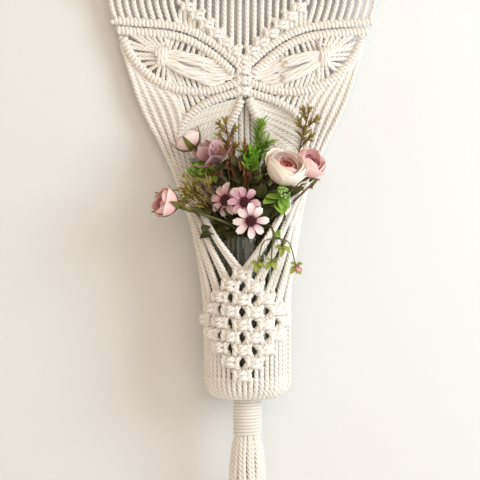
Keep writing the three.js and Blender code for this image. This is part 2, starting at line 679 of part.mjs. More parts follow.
function daisy(name, facing) {
  const group = tipGroup(name, facing);
  const shape = new THREE.Shape();
  const outer = DAISY_DIAMETER / 2;
  const inner = EYE_DIAMETER / 2 - 0.5;
  for (let i = 0; i < DAISY_PETALS; i += 1) {
    const angle = (2 * Math.PI * i) / DAISY_PETALS;
    const half = Math.PI / DAISY_PETALS;
    const spots = [[inner, -half], [outer * 0.62, -half * 0.85], [outer * 0.92, -half * 0.6],
      [outer, 0], [outer * 0.92, half * 0.6], [outer * 0.62, half * 0.85]];
    spots.forEach(([radius, turn], j) => {
      const x = radius * Math.cos(angle + turn);
      const y = radius * Math.sin(angle + turn);
      if (i === 0 && j === 0) shape.moveTo(x, y);
      else shape.lineTo(x, y);
    });
  }
  shape.closePath();
  const seat = seatOn(name, facing);
  const petals = new THREE.ExtrudeGeometry(shape, { depth: PETAL_THICKNESS, bevelEnabled: false });
  const top = seat + PETAL_THICKNESS + CLEARANCE;
  const eye = turned([[0, top], [EYE_DIAMETER / 2, top], [EYE_DIAMETER * 0.4, top + 2.4], [0, top + 3.4]], 10);
  group.add(meshOf(name, solidOf(petals.translate(0, 0, seat)), FINISH.white));
  group.add(meshOf(`${name}_eye`, solidOf(eye), FINISH.eye));
  return group;
}

// A leaf blade from `base` towards `tip`.
function blade(base, tip, width, thickness) {
  const length = base.distanceTo(tip);
  const turn = new THREE.Quaternion().setFromUnitVectors(at(0, 0, 1), tip.clone().sub(base).normalize());
  const geometry = new THREE.OctahedronGeometry(0.5).scale(width, thickness, length);
  geometry.applyQuaternion(turn).translate(...base.clone().lerp(tip, 0.5).toArray());
  return solidOf(geometry);
}

// A twig that carries leaf blades in pairs, built on its branch's tip.
function sprig(name, blades, splay, material) {
  const [length, bladeLength, bladeWidth] = SPRIGS[name];
  const group = tipGroup(name);
  const seat = seatOn(name);
  const solids = [cord([at(0, 0, seat), at(0, 0, seat + length)], 1, BRANCH_DIAMETER * 0.8)];
  for (let i = 0; i < blades; i += 1) {
    const height = seat + 1 + (length - 2) * ((i + 1) / blades);
    const turn = i * 2.4;
    const reach = at(Math.cos(turn) * Math.sin(splay), Math.sin(turn) * Math.sin(splay), Math.cos(splay));
    const base = at(0, 0, height).addScaledVector(reach, -bladeLength * 0.08);
    solids.push(blade(base, base.clone().addScaledVector(reach, bladeLength), bladeWidth, bladeWidth * 0.4));
  }
  group.add(meshOf(name, join(solids), material));
  return group;
}

const bouquet = new THREE.Group();
bouquet.name = "bouquet";
bouquet.position.set(0, jarY, mouthZ);
bouquet.add(
  meshOf("bouquet_stems", stems(), FINISH.stem),
  rose("rose_open", FINISH.peach, at(0.1, -0.85, 0.5)),
  rose("rose_right", FINISH.pink, at(0.8, -0.3, 0.5)),
  rose("rose_left", FINISH.pink),
  rose("rose_upper", FINISH.peach),
  daisy("daisy_left", at(-0.85, -0.5, 0.15)),
  daisy("daisy_mid", at(0.15, -0.85, 0.5)),
  daisy("daisy_low", at(0.1, -1, -0.15)),
  sprig("sprig_bright", 9, 0.5, FINISH.bright),
  sprig("twig_middle", 7, 0.6, FINISH.bronze),
  sprig("twig_right", 7, 0.6, FINISH.bronze),
  sprig("bloom_mauve", 6, 0.5, FINISH.mauve),
  sprig("leaves_olive", 7, 0.9, FINISH.bronze),
  sprig("florets_green", 7, 0.9, FINISH.bright),
  sprig("sprig_low", 7, 0.9, FINISH.bright),
);

const hanging = new THREE.Group();
hanging.name = "hanging";
hanging.add(
  meshOf("top_cords_left", topCords(0, SIDE_LOOPS), FINISH.cotton),
  meshOf("top_cords_middle", topCords(SIDE_LOOPS, LOOP_COUNT - SIDE_LOOPS), FINISH.cotton),
  meshOf("top_cords_right", topCords(LOOP_COUNT - SIDE_LOOPS, LOOP_COUNT), FINISH.cotton),
  meshOf("knot_chevron", chevronSolid, FINISH.cotton),
  meshOf("centre_knots", centreKnots(0), FINISH.cotton),
  meshOf("pocket_net", pocketNet(), FINISH.cotton),
  meshOf("pocket_floor", pocketFloor(), FINISH.cotton),
);
for (const [name, side] of sides) {
  hanging.add(
    ...upperWing(name),
    meshOf(`wing_cords_${name}`, wingCords(name, side), FINISH.cotton),
    meshOf(`bunch_tie_${name}`, tieRing(side, 0), FINISH.cotton),
    meshOf(`leaf_bar_${name}`, leafBar(name), FINISH.cotton),
    meshOf(`back_cords_${name}`, backCords(name, side), FINISH.cotton),
    meshOf(`side_cords_${name}`, sideCords(name, side), FINISH.cotton),
  );
}

const tail = new THREE.Group();
tail.name = "tassel_group";
tail.add(
  meshOf("tassel", tassel(), FINISH.cotton),
  meshOf("gather_wrap", gatherWrap(), FINISH.cotton),
);

const planter = new THREE.Group();
planter.name = "woven_wall_planter";
planter.add(rodMesh, hanging, tail, jarGroup, bouquet);
export default planter;
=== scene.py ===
"""Dress the knotted wall-hanging planter: cord work, jar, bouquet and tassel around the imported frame.

Sizes in the classes are millimetres in the frame's axes: +X right, +Y towards the wall, +Z up.
The meshes are in metres.
"""

import logging
import math
import random
from collections.abc import Callable, Mapping, Sequence
from dataclasses import dataclass, field, replace
from enum import Enum

import bpy
import numpy as np
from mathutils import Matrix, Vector


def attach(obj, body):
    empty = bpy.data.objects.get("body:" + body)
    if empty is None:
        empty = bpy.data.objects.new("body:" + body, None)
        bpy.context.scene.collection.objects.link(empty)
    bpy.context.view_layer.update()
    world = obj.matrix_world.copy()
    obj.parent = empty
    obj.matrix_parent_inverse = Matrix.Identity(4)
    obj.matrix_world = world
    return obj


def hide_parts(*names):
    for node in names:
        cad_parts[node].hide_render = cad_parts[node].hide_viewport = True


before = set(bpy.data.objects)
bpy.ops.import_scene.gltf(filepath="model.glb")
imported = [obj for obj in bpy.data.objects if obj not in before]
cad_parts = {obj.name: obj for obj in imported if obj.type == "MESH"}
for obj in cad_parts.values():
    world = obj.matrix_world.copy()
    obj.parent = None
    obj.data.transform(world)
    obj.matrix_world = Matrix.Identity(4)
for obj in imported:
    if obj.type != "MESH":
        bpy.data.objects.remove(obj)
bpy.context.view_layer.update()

LOG = logging.getLogger("planter")
MM = 0.001
TAU = 2 * math.pi
GOLDEN_ANGLE = 2.39996

Line = np.ndarray
Spot = Sequence[float]
Spots = tuple[Spot, ...]
Colour = tuple[float, float, float, float]


class Side(Enum):
    """A half of the panel, by the sign of its X."""

    LEFT = -1
    RIGHT = 1

    @property
    def word(self) -> str:
        """The side's name in a node."""
        return self.name.lower()


class Body(Enum):
    """The bodies that pieces ride on."""

    ROD = "rod"
    HANGING = "hanging"
    TASSEL = "tassel"
    JAR = "jar"
    BOUQUET = "bouquet"


# Lines in space


def spaced(points: Line, step: float) -> Line:
    """Points at even distances along a polyline.

    Args:
        points: the polyline.
        step: the distance between points.

    Returns:
        The new points, both ends kept.
    """
    gaps = np.linalg.norm(np.diff(points, axis=0), axis=1)
    run = np.concatenate([[0.0], np.cumsum(gaps)])
    wanted = np.linspace(0.0, run[-1], max(4, round(run[-1] / step) + 1))
    return np.stack([np.interp(wanted, run, points[:, axis]) for axis in range(3)], axis=1)


def through(spots: Sequence[Spot], step: float) -> Line:
    """A centripetal Catmull-Rom curve through a few points.

    Args:
        spots: the points that the curve passes.
        step: the distance between the points of the result.

    Returns:
        The curve as evenly spaced points.
    """
    p = np.asarray(spots, float)
    p = np.vstack([2 * p[0] - p[1], p, 2 * p[-1] - p[-2]])
    times = np.concatenate([[0.0], np.cumsum(np.sqrt(np.linalg.norm(np.diff(p, axis=0), axis=1)) + 1e-6)])
    pieces = []
    for i in range(1, len(p) - 2):
        t0, t1, t2, t3 = times[i - 1 : i + 3]
        t = np.linspace(t1, t2, 13)[:-1, None]
        first = ((t1 - t) * p[i - 1] + (t - t0) * p[i]) / (t1 - t0)
        middle = ((t2 - t) * p[i] + (t - t1) * p[i + 1]) / (t2 - t1)
        last = ((t3 - t) * p[i + 1] + (t - t2) * p[i + 2]) / (t3 - t2)
        early = ((t2 - t) * first + (t - t0) * middle) / (t2 - t0)
        late = ((t3 - t) * middle + (t - t1) * last) / (t3 - t1)
        pieces.append(((t2 - t) * early + (t - t1) * late) / (t2 - t1))
    pieces.append(p[-2:-1])
    return spaced(np.vstack(pieces), step)


def bezier(control: Sequence[Spot], side: Side) -> Line:
    """A bar's cubic curve in the panel's plane.

    Args:
        control: four [x, z] points of the right-hand half.
        side: the half that the bar is on.

    Returns:
        The curve, evenly divided in its parameter.
    """
    t = np.linspace(0, 1, 121)[:, None]
    a, b, c, d = (np.array([side.value * x, 0.0, z]) for x, z in control)
    return (1 - t) ** 3 * a + 3 * (1 - t) ** 2 * t * b + 3 * (1 - t) * t**2 * c + t**3 * d


def along(line: Line, share: float) -> Line:
    """The point at a share of a line's parameter."""
    place = min(max(share, 0.0), 1.0) * (len(line) - 1)
    low = min(int(place), len(line) - 2)
    return line[low] + (place - low) * (line[low + 1] - line[low])


def carried_normals(tangents: Line) -> Line:
    """Normals carried along a line without spin.

    Args:
        tangents: the line's unit tangents.

    Returns:
        A unit normal for each tangent.
    """
    guide = np.eye(3)[int(np.argmin(np.abs(tangents[0])))]
    normals = [guide]
    for tangent in tangents:
        normal = normals[-1] - np.dot(normals[-1], tangent) * tangent
        normals.append(normal / np.linalg.norm(normal))
    return np.array(normals[1:])


# Cords


@dataclass(frozen=True)
class CordKind:
    """How a cord is laid.

    radius is over the strands, lay the length of one full twist, groove the strands' distance from the
    middle as a share of the radius, and step the distance between the sweep's rings.
    """

    radius: float
    lay: float = 12.6
    groove: float = 0.4
    strands: int = 3
    facets: int = 4
    step: float = 1.3

    def section(self) -> tuple[Line, Line]:
        """The angles of a ring's points, and their shares of the radius."""
        count = self.strands * self.facets
        sector = TAU / self.strands
        angles = TAU * np.arange(count) / count
        local = angles % sector - sector / 2
        inner = (1 - self.groove) ** 2 - (self.groove * np.sin(local)) ** 2
        return angles, self.groove * np.cos(local) + np.sqrt(inner)


PANEL_CORD = CordKind(radius=2.5)
NET_CORD = CordKind(radius=2.55, step=1.0)
NET_KNOT_CORD = CordKind(radius=2.7, lay=14.0, step=1.0)
SMALL_KNOT_CORD = CordKind(radius=2.25, lay=11.0, step=0.9)
HITCH_CORD = CordKind(radius=2.0, lay=15.0, groove=0.3, step=1.0)
COMBED_CORD = CordKind(radius=2.3, lay=44.0, groove=0.32, step=1.4)
TIE_CORD = CordKind(radius=2.1, lay=26.0, groove=0.32, step=1.0)
WRAP_CORD = CordKind(radius=1.6, lay=8.0, groove=0.34, step=1.1)
FIBRE = CordKind(radius=0.45, lay=20.0, groove=0.1, strands=2, facets=2, step=2.0)
STALK = CordKind(radius=0.5, lay=400.0, groove=0.1, facets=2, step=4.0)
STEM_STALK = replace(STALK, radius=1.25, facets=3, step=3.0)
NEEDLE_STALK = replace(STALK, radius=0.9, step=3.0)
TWIG_STALK = replace(STALK, radius=0.85, step=2.5)
THREAD_STALK = replace(STALK, radius=0.6, step=2.0)


def placed(name: str, data: bpy.types.ID) -> bpy.types.Object:
    """A new object at the origin, in the scene."""
    obj = bpy.data.objects.new(name, data)
    bpy.context.scene.collection.objects.link(obj)
    return obj


class Piece:
    """One piece's points, faces, UV map and tones, with its own random draws."""

    def __init__(self, name: str, seed: int, body: Body = Body.HANGING) -> None:
        """Start an empty piece, with the seed of its random draws and the body that it moves with."""
        self.name = name
        self.body = body
        self.draw = random.Random(seed)
        self._spots: list[Line] = []
        self._faces: list[list[int]] = []
        self._uvs: list[Line] = []
        self._tones: list[Line] = []
        self._count = 0

    def build(self, finish: "Finish") -> bpy.types.Object:
        """Write the mesh as a new object at the origin, in its finish."""
        mesh = bpy.data.meshes.new(self.name)
        mesh.from_pydata((np.vstack(self._spots) * MM).tolist(), [], self._faces)
        layer = mesh.uv_layers.new(name="UVMap")
        layer.data.foreach_set("uv", np.vstack(self._uvs).astype(np.float32).ravel())
        tone = mesh.attributes.new("tone", "FLOAT", "POINT")
        tone.data.foreach_set("value", np.concatenate(self._tones).astype(np.float32))
        mesh.shade_smooth()
        mesh.materials.append(finish.material())
        return placed(self.name, mesh)

    def settle(self, finish: "Finish", *nodes: str) -> None:
        """Build the piece and put it on its body in place of its solids."""
        settle(self.build(finish), self.body, finish, *nodes)


class CordMesh(Piece):
    """Swept cords as one mesh, with the run and the turn round the cord as its UV map."""

    UV_RUN = 0.01
    UV_SHIFT = 40
    LOOSE = 0.25

    def cord(self, line: Line, kind: CordKind, swell: float | Line = 1.0) -> None:
        """Sweep one cord.

        Args:
            line: its middle, evenly spaced.
            kind: how it is laid.
            swell: a share of the radius, one number or one for each point.
        """
        tangents = np.gradient(line, axis=0)
        tangents /= np.linalg.norm(tangents, axis=1, keepdims=True)
        normals = carried_normals(tangents)
        sideways = np.cross(tangents, normals)
        run = np.concatenate([[0.0], np.cumsum(np.linalg.norm(np.diff(line, axis=0), axis=1))])
        angles, shares = kind.section()
        turns = angles[None, :] + self.draw.uniform(0, TAU) - TAU * run[:, None] / kind.lay
        reach = kind.radius * shares[None, :] * np.broadcast_to(swell, run.shape)[:, None]
        ring = np.cos(turns)[..., None] * normals[:, None, :]
        ring = ring + np.sin(turns)[..., None] * sideways[:, None, :]
        self._spots.append((line[:, None, :] + reach[..., None] * ring).reshape(-1, 3))
        # The tone is the share of painted light round each strand: 1 on its crest, 0 in the groove where the
        # cotton finish paints shade.
        crest_light = (shares - shares.min()) / max(float(np.ptp(shares)), 1e-6)
        self._tones.append(np.tile(crest_light, len(line)))
        self._skin(len(line), len(angles), run * self.UV_RUN + self.draw.uniform(0, self.UV_SHIFT))

    def _skin(self, rows: int, count: int, run: Line) -> None:
        """Face the rings of the last sweep and close its ends."""
        first = self._count
        uvs = []
        for i in range(rows - 1):
            for k in range(count):
                after = (k + 1) % count
                low = first + i * count
                self._faces.append([low + k, low + after, low + count + after, low + count + k])
                left, right = k / count, (k + 1) / count
                uvs += [(run[i], left), (run[i], right), (run[i + 1], right), (run[i + 1], left)]
        last = first + (rows - 1) * count
        self._faces.append([first + k for k in reversed(range(count))])
        self._faces.append([last + k for k in range(count)])
        uvs += [(run[0], k / count) for k in reversed(range(count))]
        uvs += [(run[-1], k / count) for k in range(count)]
        self._uvs.append(np.array(uvs))
        self._count += rows * count

    def straight(self, spots: Sequence[Spot], kind: CordKind = PANEL_CORD, swell: float = 1.0) -> None:
        """Sweep a cord through a few points, a little unevenly as by hand."""
        loose = [np.asarray(s, float) for s in spots]
        for i in range(1, len(loose) - 1):
            loose[i] = loose[i] + np.array([self.draw.gauss(0, self.LOOSE) for _ in range(3)])
        self.cord(through(loose, kind.step), kind, swell)


BAR_FORWARD = 1.6
BAR_THICKNESS = 8.7
HITCH_PITCH = 3.5
HITCH_PULL = (0.9, 1.08)
KNOT_LOOSE = 0.025


def hitch_bar(mesh: CordMesh, spine: Line) -> None:
    """Wind half-hitches closely round a bar's holding cord.

    Args:
        mesh: the piece that takes the winding.
        spine: the bar's middle, in the panel's plane.
    """
    spine = spaced(spine, 0.25) + np.array([0.0, -BAR_FORWARD, 0.0])
    tangents = np.gradient(spine, axis=0)
    tangents /= np.linalg.norm(tangents, axis=1, keepdims=True)
    upward = np.stack([-tangents[:, 2], np.zeros(len(spine)), tangents[:, 0]], axis=1)
    run = np.arange(len(spine)) * np.linalg.norm(spine[1] - spine[0])
    turns = max(1, int(run[-1] / HITCH_PITCH))
    pulls = [mesh.draw.uniform(*HITCH_PULL) for _ in range(turns + 1)]
    tight = np.interp(run, np.linspace(0, run[-1], turns + 1), pulls)
    angle = TAU * turns * run / run[-1] + mesh.draw.uniform(0, TAU)
    radius = (BAR_THICKNESS / 2 - HITCH_CORD.radius) * tight
    front = np.array([0.0, -1.0, 0.0])
    path = spine + radius[:, None] * (np.cos(angle)[:, None] * upward + np.sin(angle)[:, None] * front)
    mesh.cord(spaced(path, HITCH_CORD.step), HITCH_CORD)


# One square knot, in cord diameters: across, down and out. The left cord stands up at the edge, the right
# one crosses the front twice, and the two straight ones show only above and below.
KNOT_LINES: tuple[Spots, ...] = (
    ((-1.5, -1.13, -0.05), (-1.38, -0.88, 0.25), (-1.08, -0.55, 0.8), (-1.0, -0.02, 1.05), (-1.08, 0.5, 0.8),
     (-1.38, 0.85, 0.25), (-1.5, 1.13, -0.05)),
    ((0.9, -0.5, 0.1), (1.14, -0.2, 0.6), (1.14, 0.2, 0.6), (0.9, 0.5, 0.1)),
    ((1.5, -1.13, -0.05), (1.43, -0.92, 0.25), (1.18, -0.62, 0.78), (0.82, -0.52, 0.58), (0.45, -0.48, 0.92),
     (0.0, -0.46, 1.18), (-0.45, -0.4, 0.85), (-0.9, -0.25, 0.1)),
    ((-0.9, 0.2, 0.1), (-0.45, 0.36, 0.85), (0.0, 0.44, 1.18), (0.45, 0.48, 0.92), (0.82, 0.53, 0.58),
     (1.18, 0.64, 0.78), (1.43, 0.93, 0.25), (1.5, 1.13, -0.05)),
    ((-0.5, -1.13, -0.05), (-0.42, -0.8, 0.12), (-0.35, 0.0, 0.0), (-0.42, 0.8, 0.12), (-0.5, 1.13, -0.05)),
    ((0.5, -1.13, -0.05), (0.42, -0.8, 0.12), (0.35, 0.0, 0.0), (0.42, 0.8, 0.12), (0.5, 1.13, -0.05)),
)


def square_knot(mesh: CordMesh, place: Callable[[float, float, float], Spot], kind: CordKind) -> None:
    """Tie one square knot.

    Args:
        mesh: the piece that takes the knot.
        place: turns across, down and out, in cord diameters, into a point.
        kind: the cord that it is tied in.
    """
    for line in KNOT_LINES:
        loose = [tuple(v + mesh.draw.gauss(0, KNOT_LOOSE) for v in spot) for spot in line[1:-1]]
        spots = [place(*spot) for spot in (line[0], *loose, line[-1])]
        mesh.cord(through(spots, kind.step), kind)


def flat_knot(mesh: CordMesh, x: float, z: float, unit: float = 4.4) -> None:
    """Tie a small square knot in the panel's plane, centred on x and z, of a cord that is one unit thick."""

    def place(across: float, down: float, out: float) -> Spot:
        return (x + across * unit, -out * unit, z - down * unit)

    square_knot(mesh, place, SMALL_KNOT_CORD)


# Finishes


def shade_of(red: int, green: int, blue: int) -> Colour:
    """A shader colour from values of 0 to 255."""
    shares = [value / 255 for value in (red, green, blue)]
    parts = [s / 12.92 if s <= 0.04045 else ((s + 0.055) / 1.055) ** 2.4 for s in shares]
    return (parts[0], parts[1], parts[2], 1.0)


Node = bpy.types.Node
Tree = bpy.types.NodeTree
Socket = bpy.types.NodeSocket
Feed = Socket | float | Colour


class Wiring:
    """Adds and joins the nodes of one tree."""

    def __init__(self, tree: Tree) -> None:
        """Keep the tree that is wired."""
        self.tree = tree

    def feed(self, socket: Socket, value: Feed) -> None:
        """Link a socket, or set its constant."""
        if isinstance(value, Socket):
            self.tree.links.new(value, socket)
        else:
            socket.default_value = value

    def fill(self, node: Node, **inputs: Feed) -> None:
        """Link or set a node's sockets by name, with _ for a space."""
        for name, value in inputs.items():
            self.feed(node.inputs[name.replace("_", " ")], value)

    def node(self, kind: str, **inputs: Feed) -> Node:
        """Add a node of a type, named without the ShaderNode in front, and fill its sockets."""
        made = self.tree.nodes.new("ShaderNode" + kind)
        self.fill(made, **inputs)
        return made

    def sum(self, operation: str, first: Feed, second: Feed = 0.0) -> Socket:
        """A Math node's result."""
        made = self.tree.nodes.new("ShaderNodeMath")
        made.operation = operation
        self.feed(made.inputs[0], first)
        self.feed(made.inputs[1], second)
        return made.outputs[0]

    def blend(self, factor: Feed, first: Feed, second: Feed) -> Socket:
        """Two colours mixed by a factor."""
        made = self.tree.nodes.new("ShaderNodeMix")
        made.data_type = "RGBA"
        self.feed(made.inputs[0], factor)
        self.feed(made.inputs[6], first)
        self.feed(made.inputs[7], second)
        return made.outputs[2]

    def ranged(self, value: Feed, low: float, high: float, start: float = 0.0, end: float = 1.0) -> Socket:
        """A value carried from one range to another, and held there."""
        made = self.node("MapRange", Value=value, From_Min=low, From_Max=high, To_Min=start, To_Max=end)
        return made.outputs["Result"]

    def share(self, value: Feed, low: float, high: float) -> Socket:
        """A value of 0 to 1 carried to a range."""
        return self.ranged(value, 0.0, 1.0, low, high)

    def scaled(self, value: Feed, factor: float) -> Socket:
        """A value times a factor."""
        return self.sum("MULTIPLY", value, factor)

    def streaks(self, vector: Feed, along: float, across: float) -> Socket:
        """The shared streaks."""
        return self.group(Effect.STREAKS.tree(), Vector=vector, Along=along, Across=across)

    def mottle(self, vector: Feed, scale: float) -> Socket:
        """The shared clouds."""
        return self.group(Effect.MOTTLE.tree(), Vector=vector, Scale=scale)

    def surface(self) -> Socket:
        """The piece's own UV map."""
        made = self.tree.nodes.new("ShaderNodeUVMap")
        made.uv_map = "UVMap"
        return made.outputs["UV"]

    def place(self) -> Socket:
        """The point in the frame, in metres."""
        return self.tree.nodes.new("ShaderNodeTexCoord").outputs["Object"]

    def tone(self) -> Socket:
        """The piece's tone attribute."""
        made = self.tree.nodes.new("ShaderNodeAttribute")
        made.attribute_name = "tone"
        return made.outputs["Fac"]

    def group(self, tree: Tree, **inputs: Feed) -> Socket:
        """A shared effect's result, from its inputs by name."""
        made = self.tree.nodes.new("ShaderNodeGroup")
        made.node_tree = tree
        self.fill(made, **inputs)
        return made.outputs[0]

    def relief(self, shader: Node, height: Feed, strength: float, depth: float) -> None:
        """Bump a shader's normal by a height, depth in millimetres."""
        bump = self.node("Bump", Height=height, Strength=strength, Distance=depth * MM)
        self.tree.links.new(bump.outputs["Normal"], shader.inputs["Normal"])

    def split(self, factor: Feed, first: Node, second: Node) -> None:
        """Show the second shader at the output where the factor is 1, and the first elsewhere."""
        mixer = self.node("MixShader", Fac=factor)
        self.tree.links.new(first.outputs[0], mixer.inputs[1])
        self.tree.links.new(second.outputs[0], mixer.inputs[2])
        output = next(n for n in self.tree.nodes if n.type.startswith("OUTPUT"))
        self.tree.links.new(mixer.outputs[0], output.inputs["Surface"])


class Effect(Enum):
    """Effects that several finishes share: the group's name, then its sizes."""

    STREAKS = ("fine_streaks", "Along", "Across")
    MOTTLE = ("soft_mottle", "Scale")

    def tree(self) -> Tree:
        """The effect's node group, made once."""
        name, *sizes = self.value
        made = bpy.data.node_groups.get(name)
        if made is None:
            made = bpy.data.node_groups.new(name, "ShaderNodeTree")
            made.interface.new_socket("Vector", in_out="INPUT", socket_type="NodeSocketVector")
            for size in sizes:
                made.interface.new_socket(size, in_out="INPUT", socket_type="NodeSocketFloat")
            made.interface.new_socket("Share", in_out="OUTPUT", socket_type="NodeSocketFloat")
            given = made.nodes.new("NodeGroupInput").outputs
            end = made.nodes.new("NodeGroupOutput")
            noise = self._streaks if self is Effect.STREAKS else self._clouds
            made.links.new(noise(Wiring(made), given), end.inputs[0])
        return made

    @staticmethod
    def _streaks(wiring: Wiring, given: Mapping[str, Socket]) -> Socket:
        """Noise drawn out along the first coordinate, as fibres and veins are, from 0 to 1."""
        parts = wiring.node("SeparateXYZ", Vector=given["Vector"])
        first = wiring.sum("MULTIPLY", parts.outputs["X"], given["Along"])
        second = wiring.sum("MULTIPLY", parts.outputs["Y"], given["Across"])
        joined = wiring.node("CombineXYZ", X=first, Y=second, Z=parts.outputs["Z"])
        noise = wiring.node("TexNoise", Vector=joined.outputs[0], Scale=1.0, Detail=3.0, Roughness=0.6)
        return wiring.ranged(noise.outputs["Fac"], 0.3, 0.7)

    @staticmethod
    def _clouds(wiring: Wiring, given: Mapping[str, Socket]) -> Socket:
        """Soft clouds, from 0 to 1."""
        noise = wiring.node("TexNoise", Vector=given["Vector"], Scale=given["Scale"], Detail=4.0)
        return wiring.ranged(noise.outputs["Fac"], 0.32, 0.68)


@dataclass(frozen=True)
class Finish:
    """One finish, with the record's slot that it stands for."""

    name: str
    slot: str

    def material(self) -> bpy.types.Material:
        """The finish's material, made once."""
        made = bpy.data.materials.get(self.name)
        if made is None:
            made = bpy.data.materials.new(self.name)
            made.use_nodes = True
            self.wire(Wiring(made.node_tree), made.node_tree.nodes["Principled BSDF"])
        return made

    def wire(self, wiring: Wiring, shader: Node) -> None:
        """Wire the finish's nodes into its shader."""
        raise NotImplementedError


@dataclass(frozen=True)
class Cotton(Finish):
    """Soft spun cotton with fibres along the strands, and painted light and shade: paler on the strands'
    crests, darker in the grooves where they meet.
    """

    crest_light: Colour
    groove_shade: Colour

    def wire(self, wiring: Wiring, shader: Node) -> None:
        """Wire fibres, clouds, and the painted light and shade across the strands."""
        fibre = wiring.streaks(wiring.surface(), 30.0, 20.0)
        cloud = wiring.mottle(wiring.place(), 46.0)
        # The tone is 1 on the strands' crests and 0 in their grooves: painted light on the crests, painted
        # shade in the grooves.
        painted_light = wiring.ranged(wiring.tone(), 0.0, 0.55)
        full = wiring.sum("SUBTRACT", painted_light, wiring.scaled(fibre, 0.16))
        body = wiring.blend(full, self.groove_shade, self.crest_light)
        wiring.fill(shader, Base_Color=wiring.blend(wiring.scaled(cloud, 0.16), body, self.groove_shade),
                    Roughness=wiring.share(fibre, 0.86, 0.98), Specular_IOR_Level=0.15,
                    Sheen_Weight=0.18, Sheen_Roughness=0.5)
        wiring.relief(shader, fibre, 0.5, 0.35)


@dataclass(frozen=True)
class Petal(Finish):
    """A silk petal, shaded from its root to its edge, and deeper towards the flower's heart."""

    root: Colour
    body: Colour
    edge: Colour
    heart: Colour

    def wire(self, wiring: Wiring, shader: Node) -> None:
        """Wire the shading, the veins and the cloth's relief."""
        parts = wiring.node("SeparateXYZ", Vector=wiring.surface())
        length = parts.outputs["Y"]
        turned = wiring.node("CombineXYZ", X=length, Y=parts.outputs["X"])
        vein = wiring.streaks(turned.outputs[0], 2.5, 26.0)
        cloud = wiring.mottle(wiring.place(), 160.0)
        drawn = wiring.sum("ADD", length, wiring.scaled(vein, 0.18))
        first = wiring.blend(wiring.ranged(drawn, 0.05, 0.55), self.root, self.body)
        second = wiring.blend(wiring.ranged(drawn, 0.5, 1.05), first, self.edge)
        deep = wiring.blend(wiring.tone(), second, self.heart)
        wiring.fill(shader, Base_Color=wiring.blend(wiring.scaled(cloud, 0.12), deep, self.root),
                    Roughness=wiring.share(cloud, 0.55, 0.72), Specular_IOR_Level=0.25, Sheen_Weight=0.12)
        wiring.relief(shader, vein, 0.35, 0.25)


@dataclass(frozen=True)
class Leaf(Finish):
    """A leaf blade with a midrib and side veins, duller towards its root."""

    dark: Colour
    pale: Colour
    rib: Colour

    def wire(self, wiring: Wiring, shader: Node) -> None:
        """Wire the ribs, the clouds and the relief."""
        parts = wiring.node("SeparateXYZ", Vector=wiring.surface())
        off = wiring.sum("ABSOLUTE", wiring.sum("SUBTRACT", parts.outputs["X"], 0.5))
        midrib = wiring.ranged(off, 0.0, 0.06, 1.0, 0.0)
        slant = wiring.sum("SUBTRACT", parts.outputs["Y"], wiring.scaled(off, 0.9))
        comb = wiring.sum("SINE", wiring.scaled(slant, 58.0))
        ribs = wiring.sum("MAXIMUM", midrib, wiring.ranged(comb, 0.72, 1.0, 0.0, 0.5))
        cloud = wiring.mottle(wiring.place(), 120.0)
        tipped = wiring.scaled(wiring.sum("ADD", cloud, parts.outputs["Y"]), 0.5)
        blade = wiring.blend(tipped, self.dark, self.pale)
        wiring.fill(shader, Base_Color=wiring.blend(wiring.scaled(ribs, 0.55), blade, self.rib),
                    Roughness=wiring.share(cloud, 0.42, 0.62), Specular_IOR_Level=0.35)
        wiring.relief(shader, ribs, 0.45, 0.4)


@dataclass(frozen=True)
class Bark(Finish):
    """A stem or twig: streaked along its length."""

    dark: Colour
    pale: Colour

    def wire(self, wiring: Wiring, shader: Node) -> None:
        """Wire the streaks and their relief."""
        streak = wiring.streaks(wiring.surface(), 14.0, 7.0)
        cloud = wiring.mottle(wiring.place(), 70.0)
        mixed = wiring.scaled(wiring.sum("ADD", streak, cloud), 0.5)
        wiring.fill(shader, Base_Color=wiring.blend(mixed, self.dark, self.pale),
                    Roughness=wiring.share(streak, 0.5, 0.75))
        wiring.relief(shader, streak, 0.5, 0.4)


@dataclass(frozen=True)
class Eye(Finish):
    """A flower's eye: tight dark florets with a dusting on their tops."""

    dark: Colour
    dust: Colour

    def wire(self, wiring: Wiring, shader: Node) -> None:
        """Wire the dusting and the grain."""
        grain = wiring.mottle(wiring.place(), 900.0)
        dusted = wiring.sum("MULTIPLY", wiring.tone(), wiring.ranged(grain, 0.3, 0.9, 0.0, 0.7))
        wiring.fill(shader, Base_Color=wiring.blend(dusted, self.dark, self.dust),
                    Roughness=wiring.share(grain, 0.7, 0.9))
        wiring.relief(shader, grain, 0.5, 0.3)


@dataclass(frozen=True)
class Wood(Finish):
    """A planed dowel: growth rings drawn out along its length, with fine pores."""

    early: Colour
    late: Colour

    def wire(self, wiring: Wiring, shader: Node) -> None:
        """Wire the rings and the pores."""
        place = wiring.place()
        drawn_out = wiring.node("Mapping", Vector=place)
        drawn_out.inputs["Scale"].default_value = (9.0, 150.0, 150.0)
        cloud = wiring.mottle(drawn_out.outputs[0], 1.0)
        pores = wiring.streaks(place, 60.0, 1700.0)
        rings = wiring.sum("SINE", wiring.scaled(cloud, 22.0))
        ring = wiring.blend(wiring.ranged(rings, -1.0, 1.0, 0.1, 0.8), self.early, self.late)
        wiring.fill(shader, Base_Color=wiring.blend(wiring.scaled(pores, 0.35), ring, self.late),
                    Roughness=wiring.share(pores, 0.5, 0.72))
        wiring.relief(shader, pores, 0.35, 0.3)


@dataclass(frozen=True)
class Glass(Finish):
    """Jar glass with a slightly uneven surface, tinted smoky olive: painted shade for the jar's dark, shaded
    inside.
    """

    tint: Colour

    def wire(self, wiring: Wiring, shader: Node) -> None:
        """Wire the unevenness; the rest is constant."""
        ripple = wiring.mottle(wiring.place(), 40.0)
        wiring.fill(shader, Base_Color=self.tint, Metallic=0.0, Transmission_Weight=1.0, IOR=1.45,
                    Roughness=wiring.share(ripple, 0.01, 0.05))
        wiring.relief(shader, ripple, 0.2, 0.5)


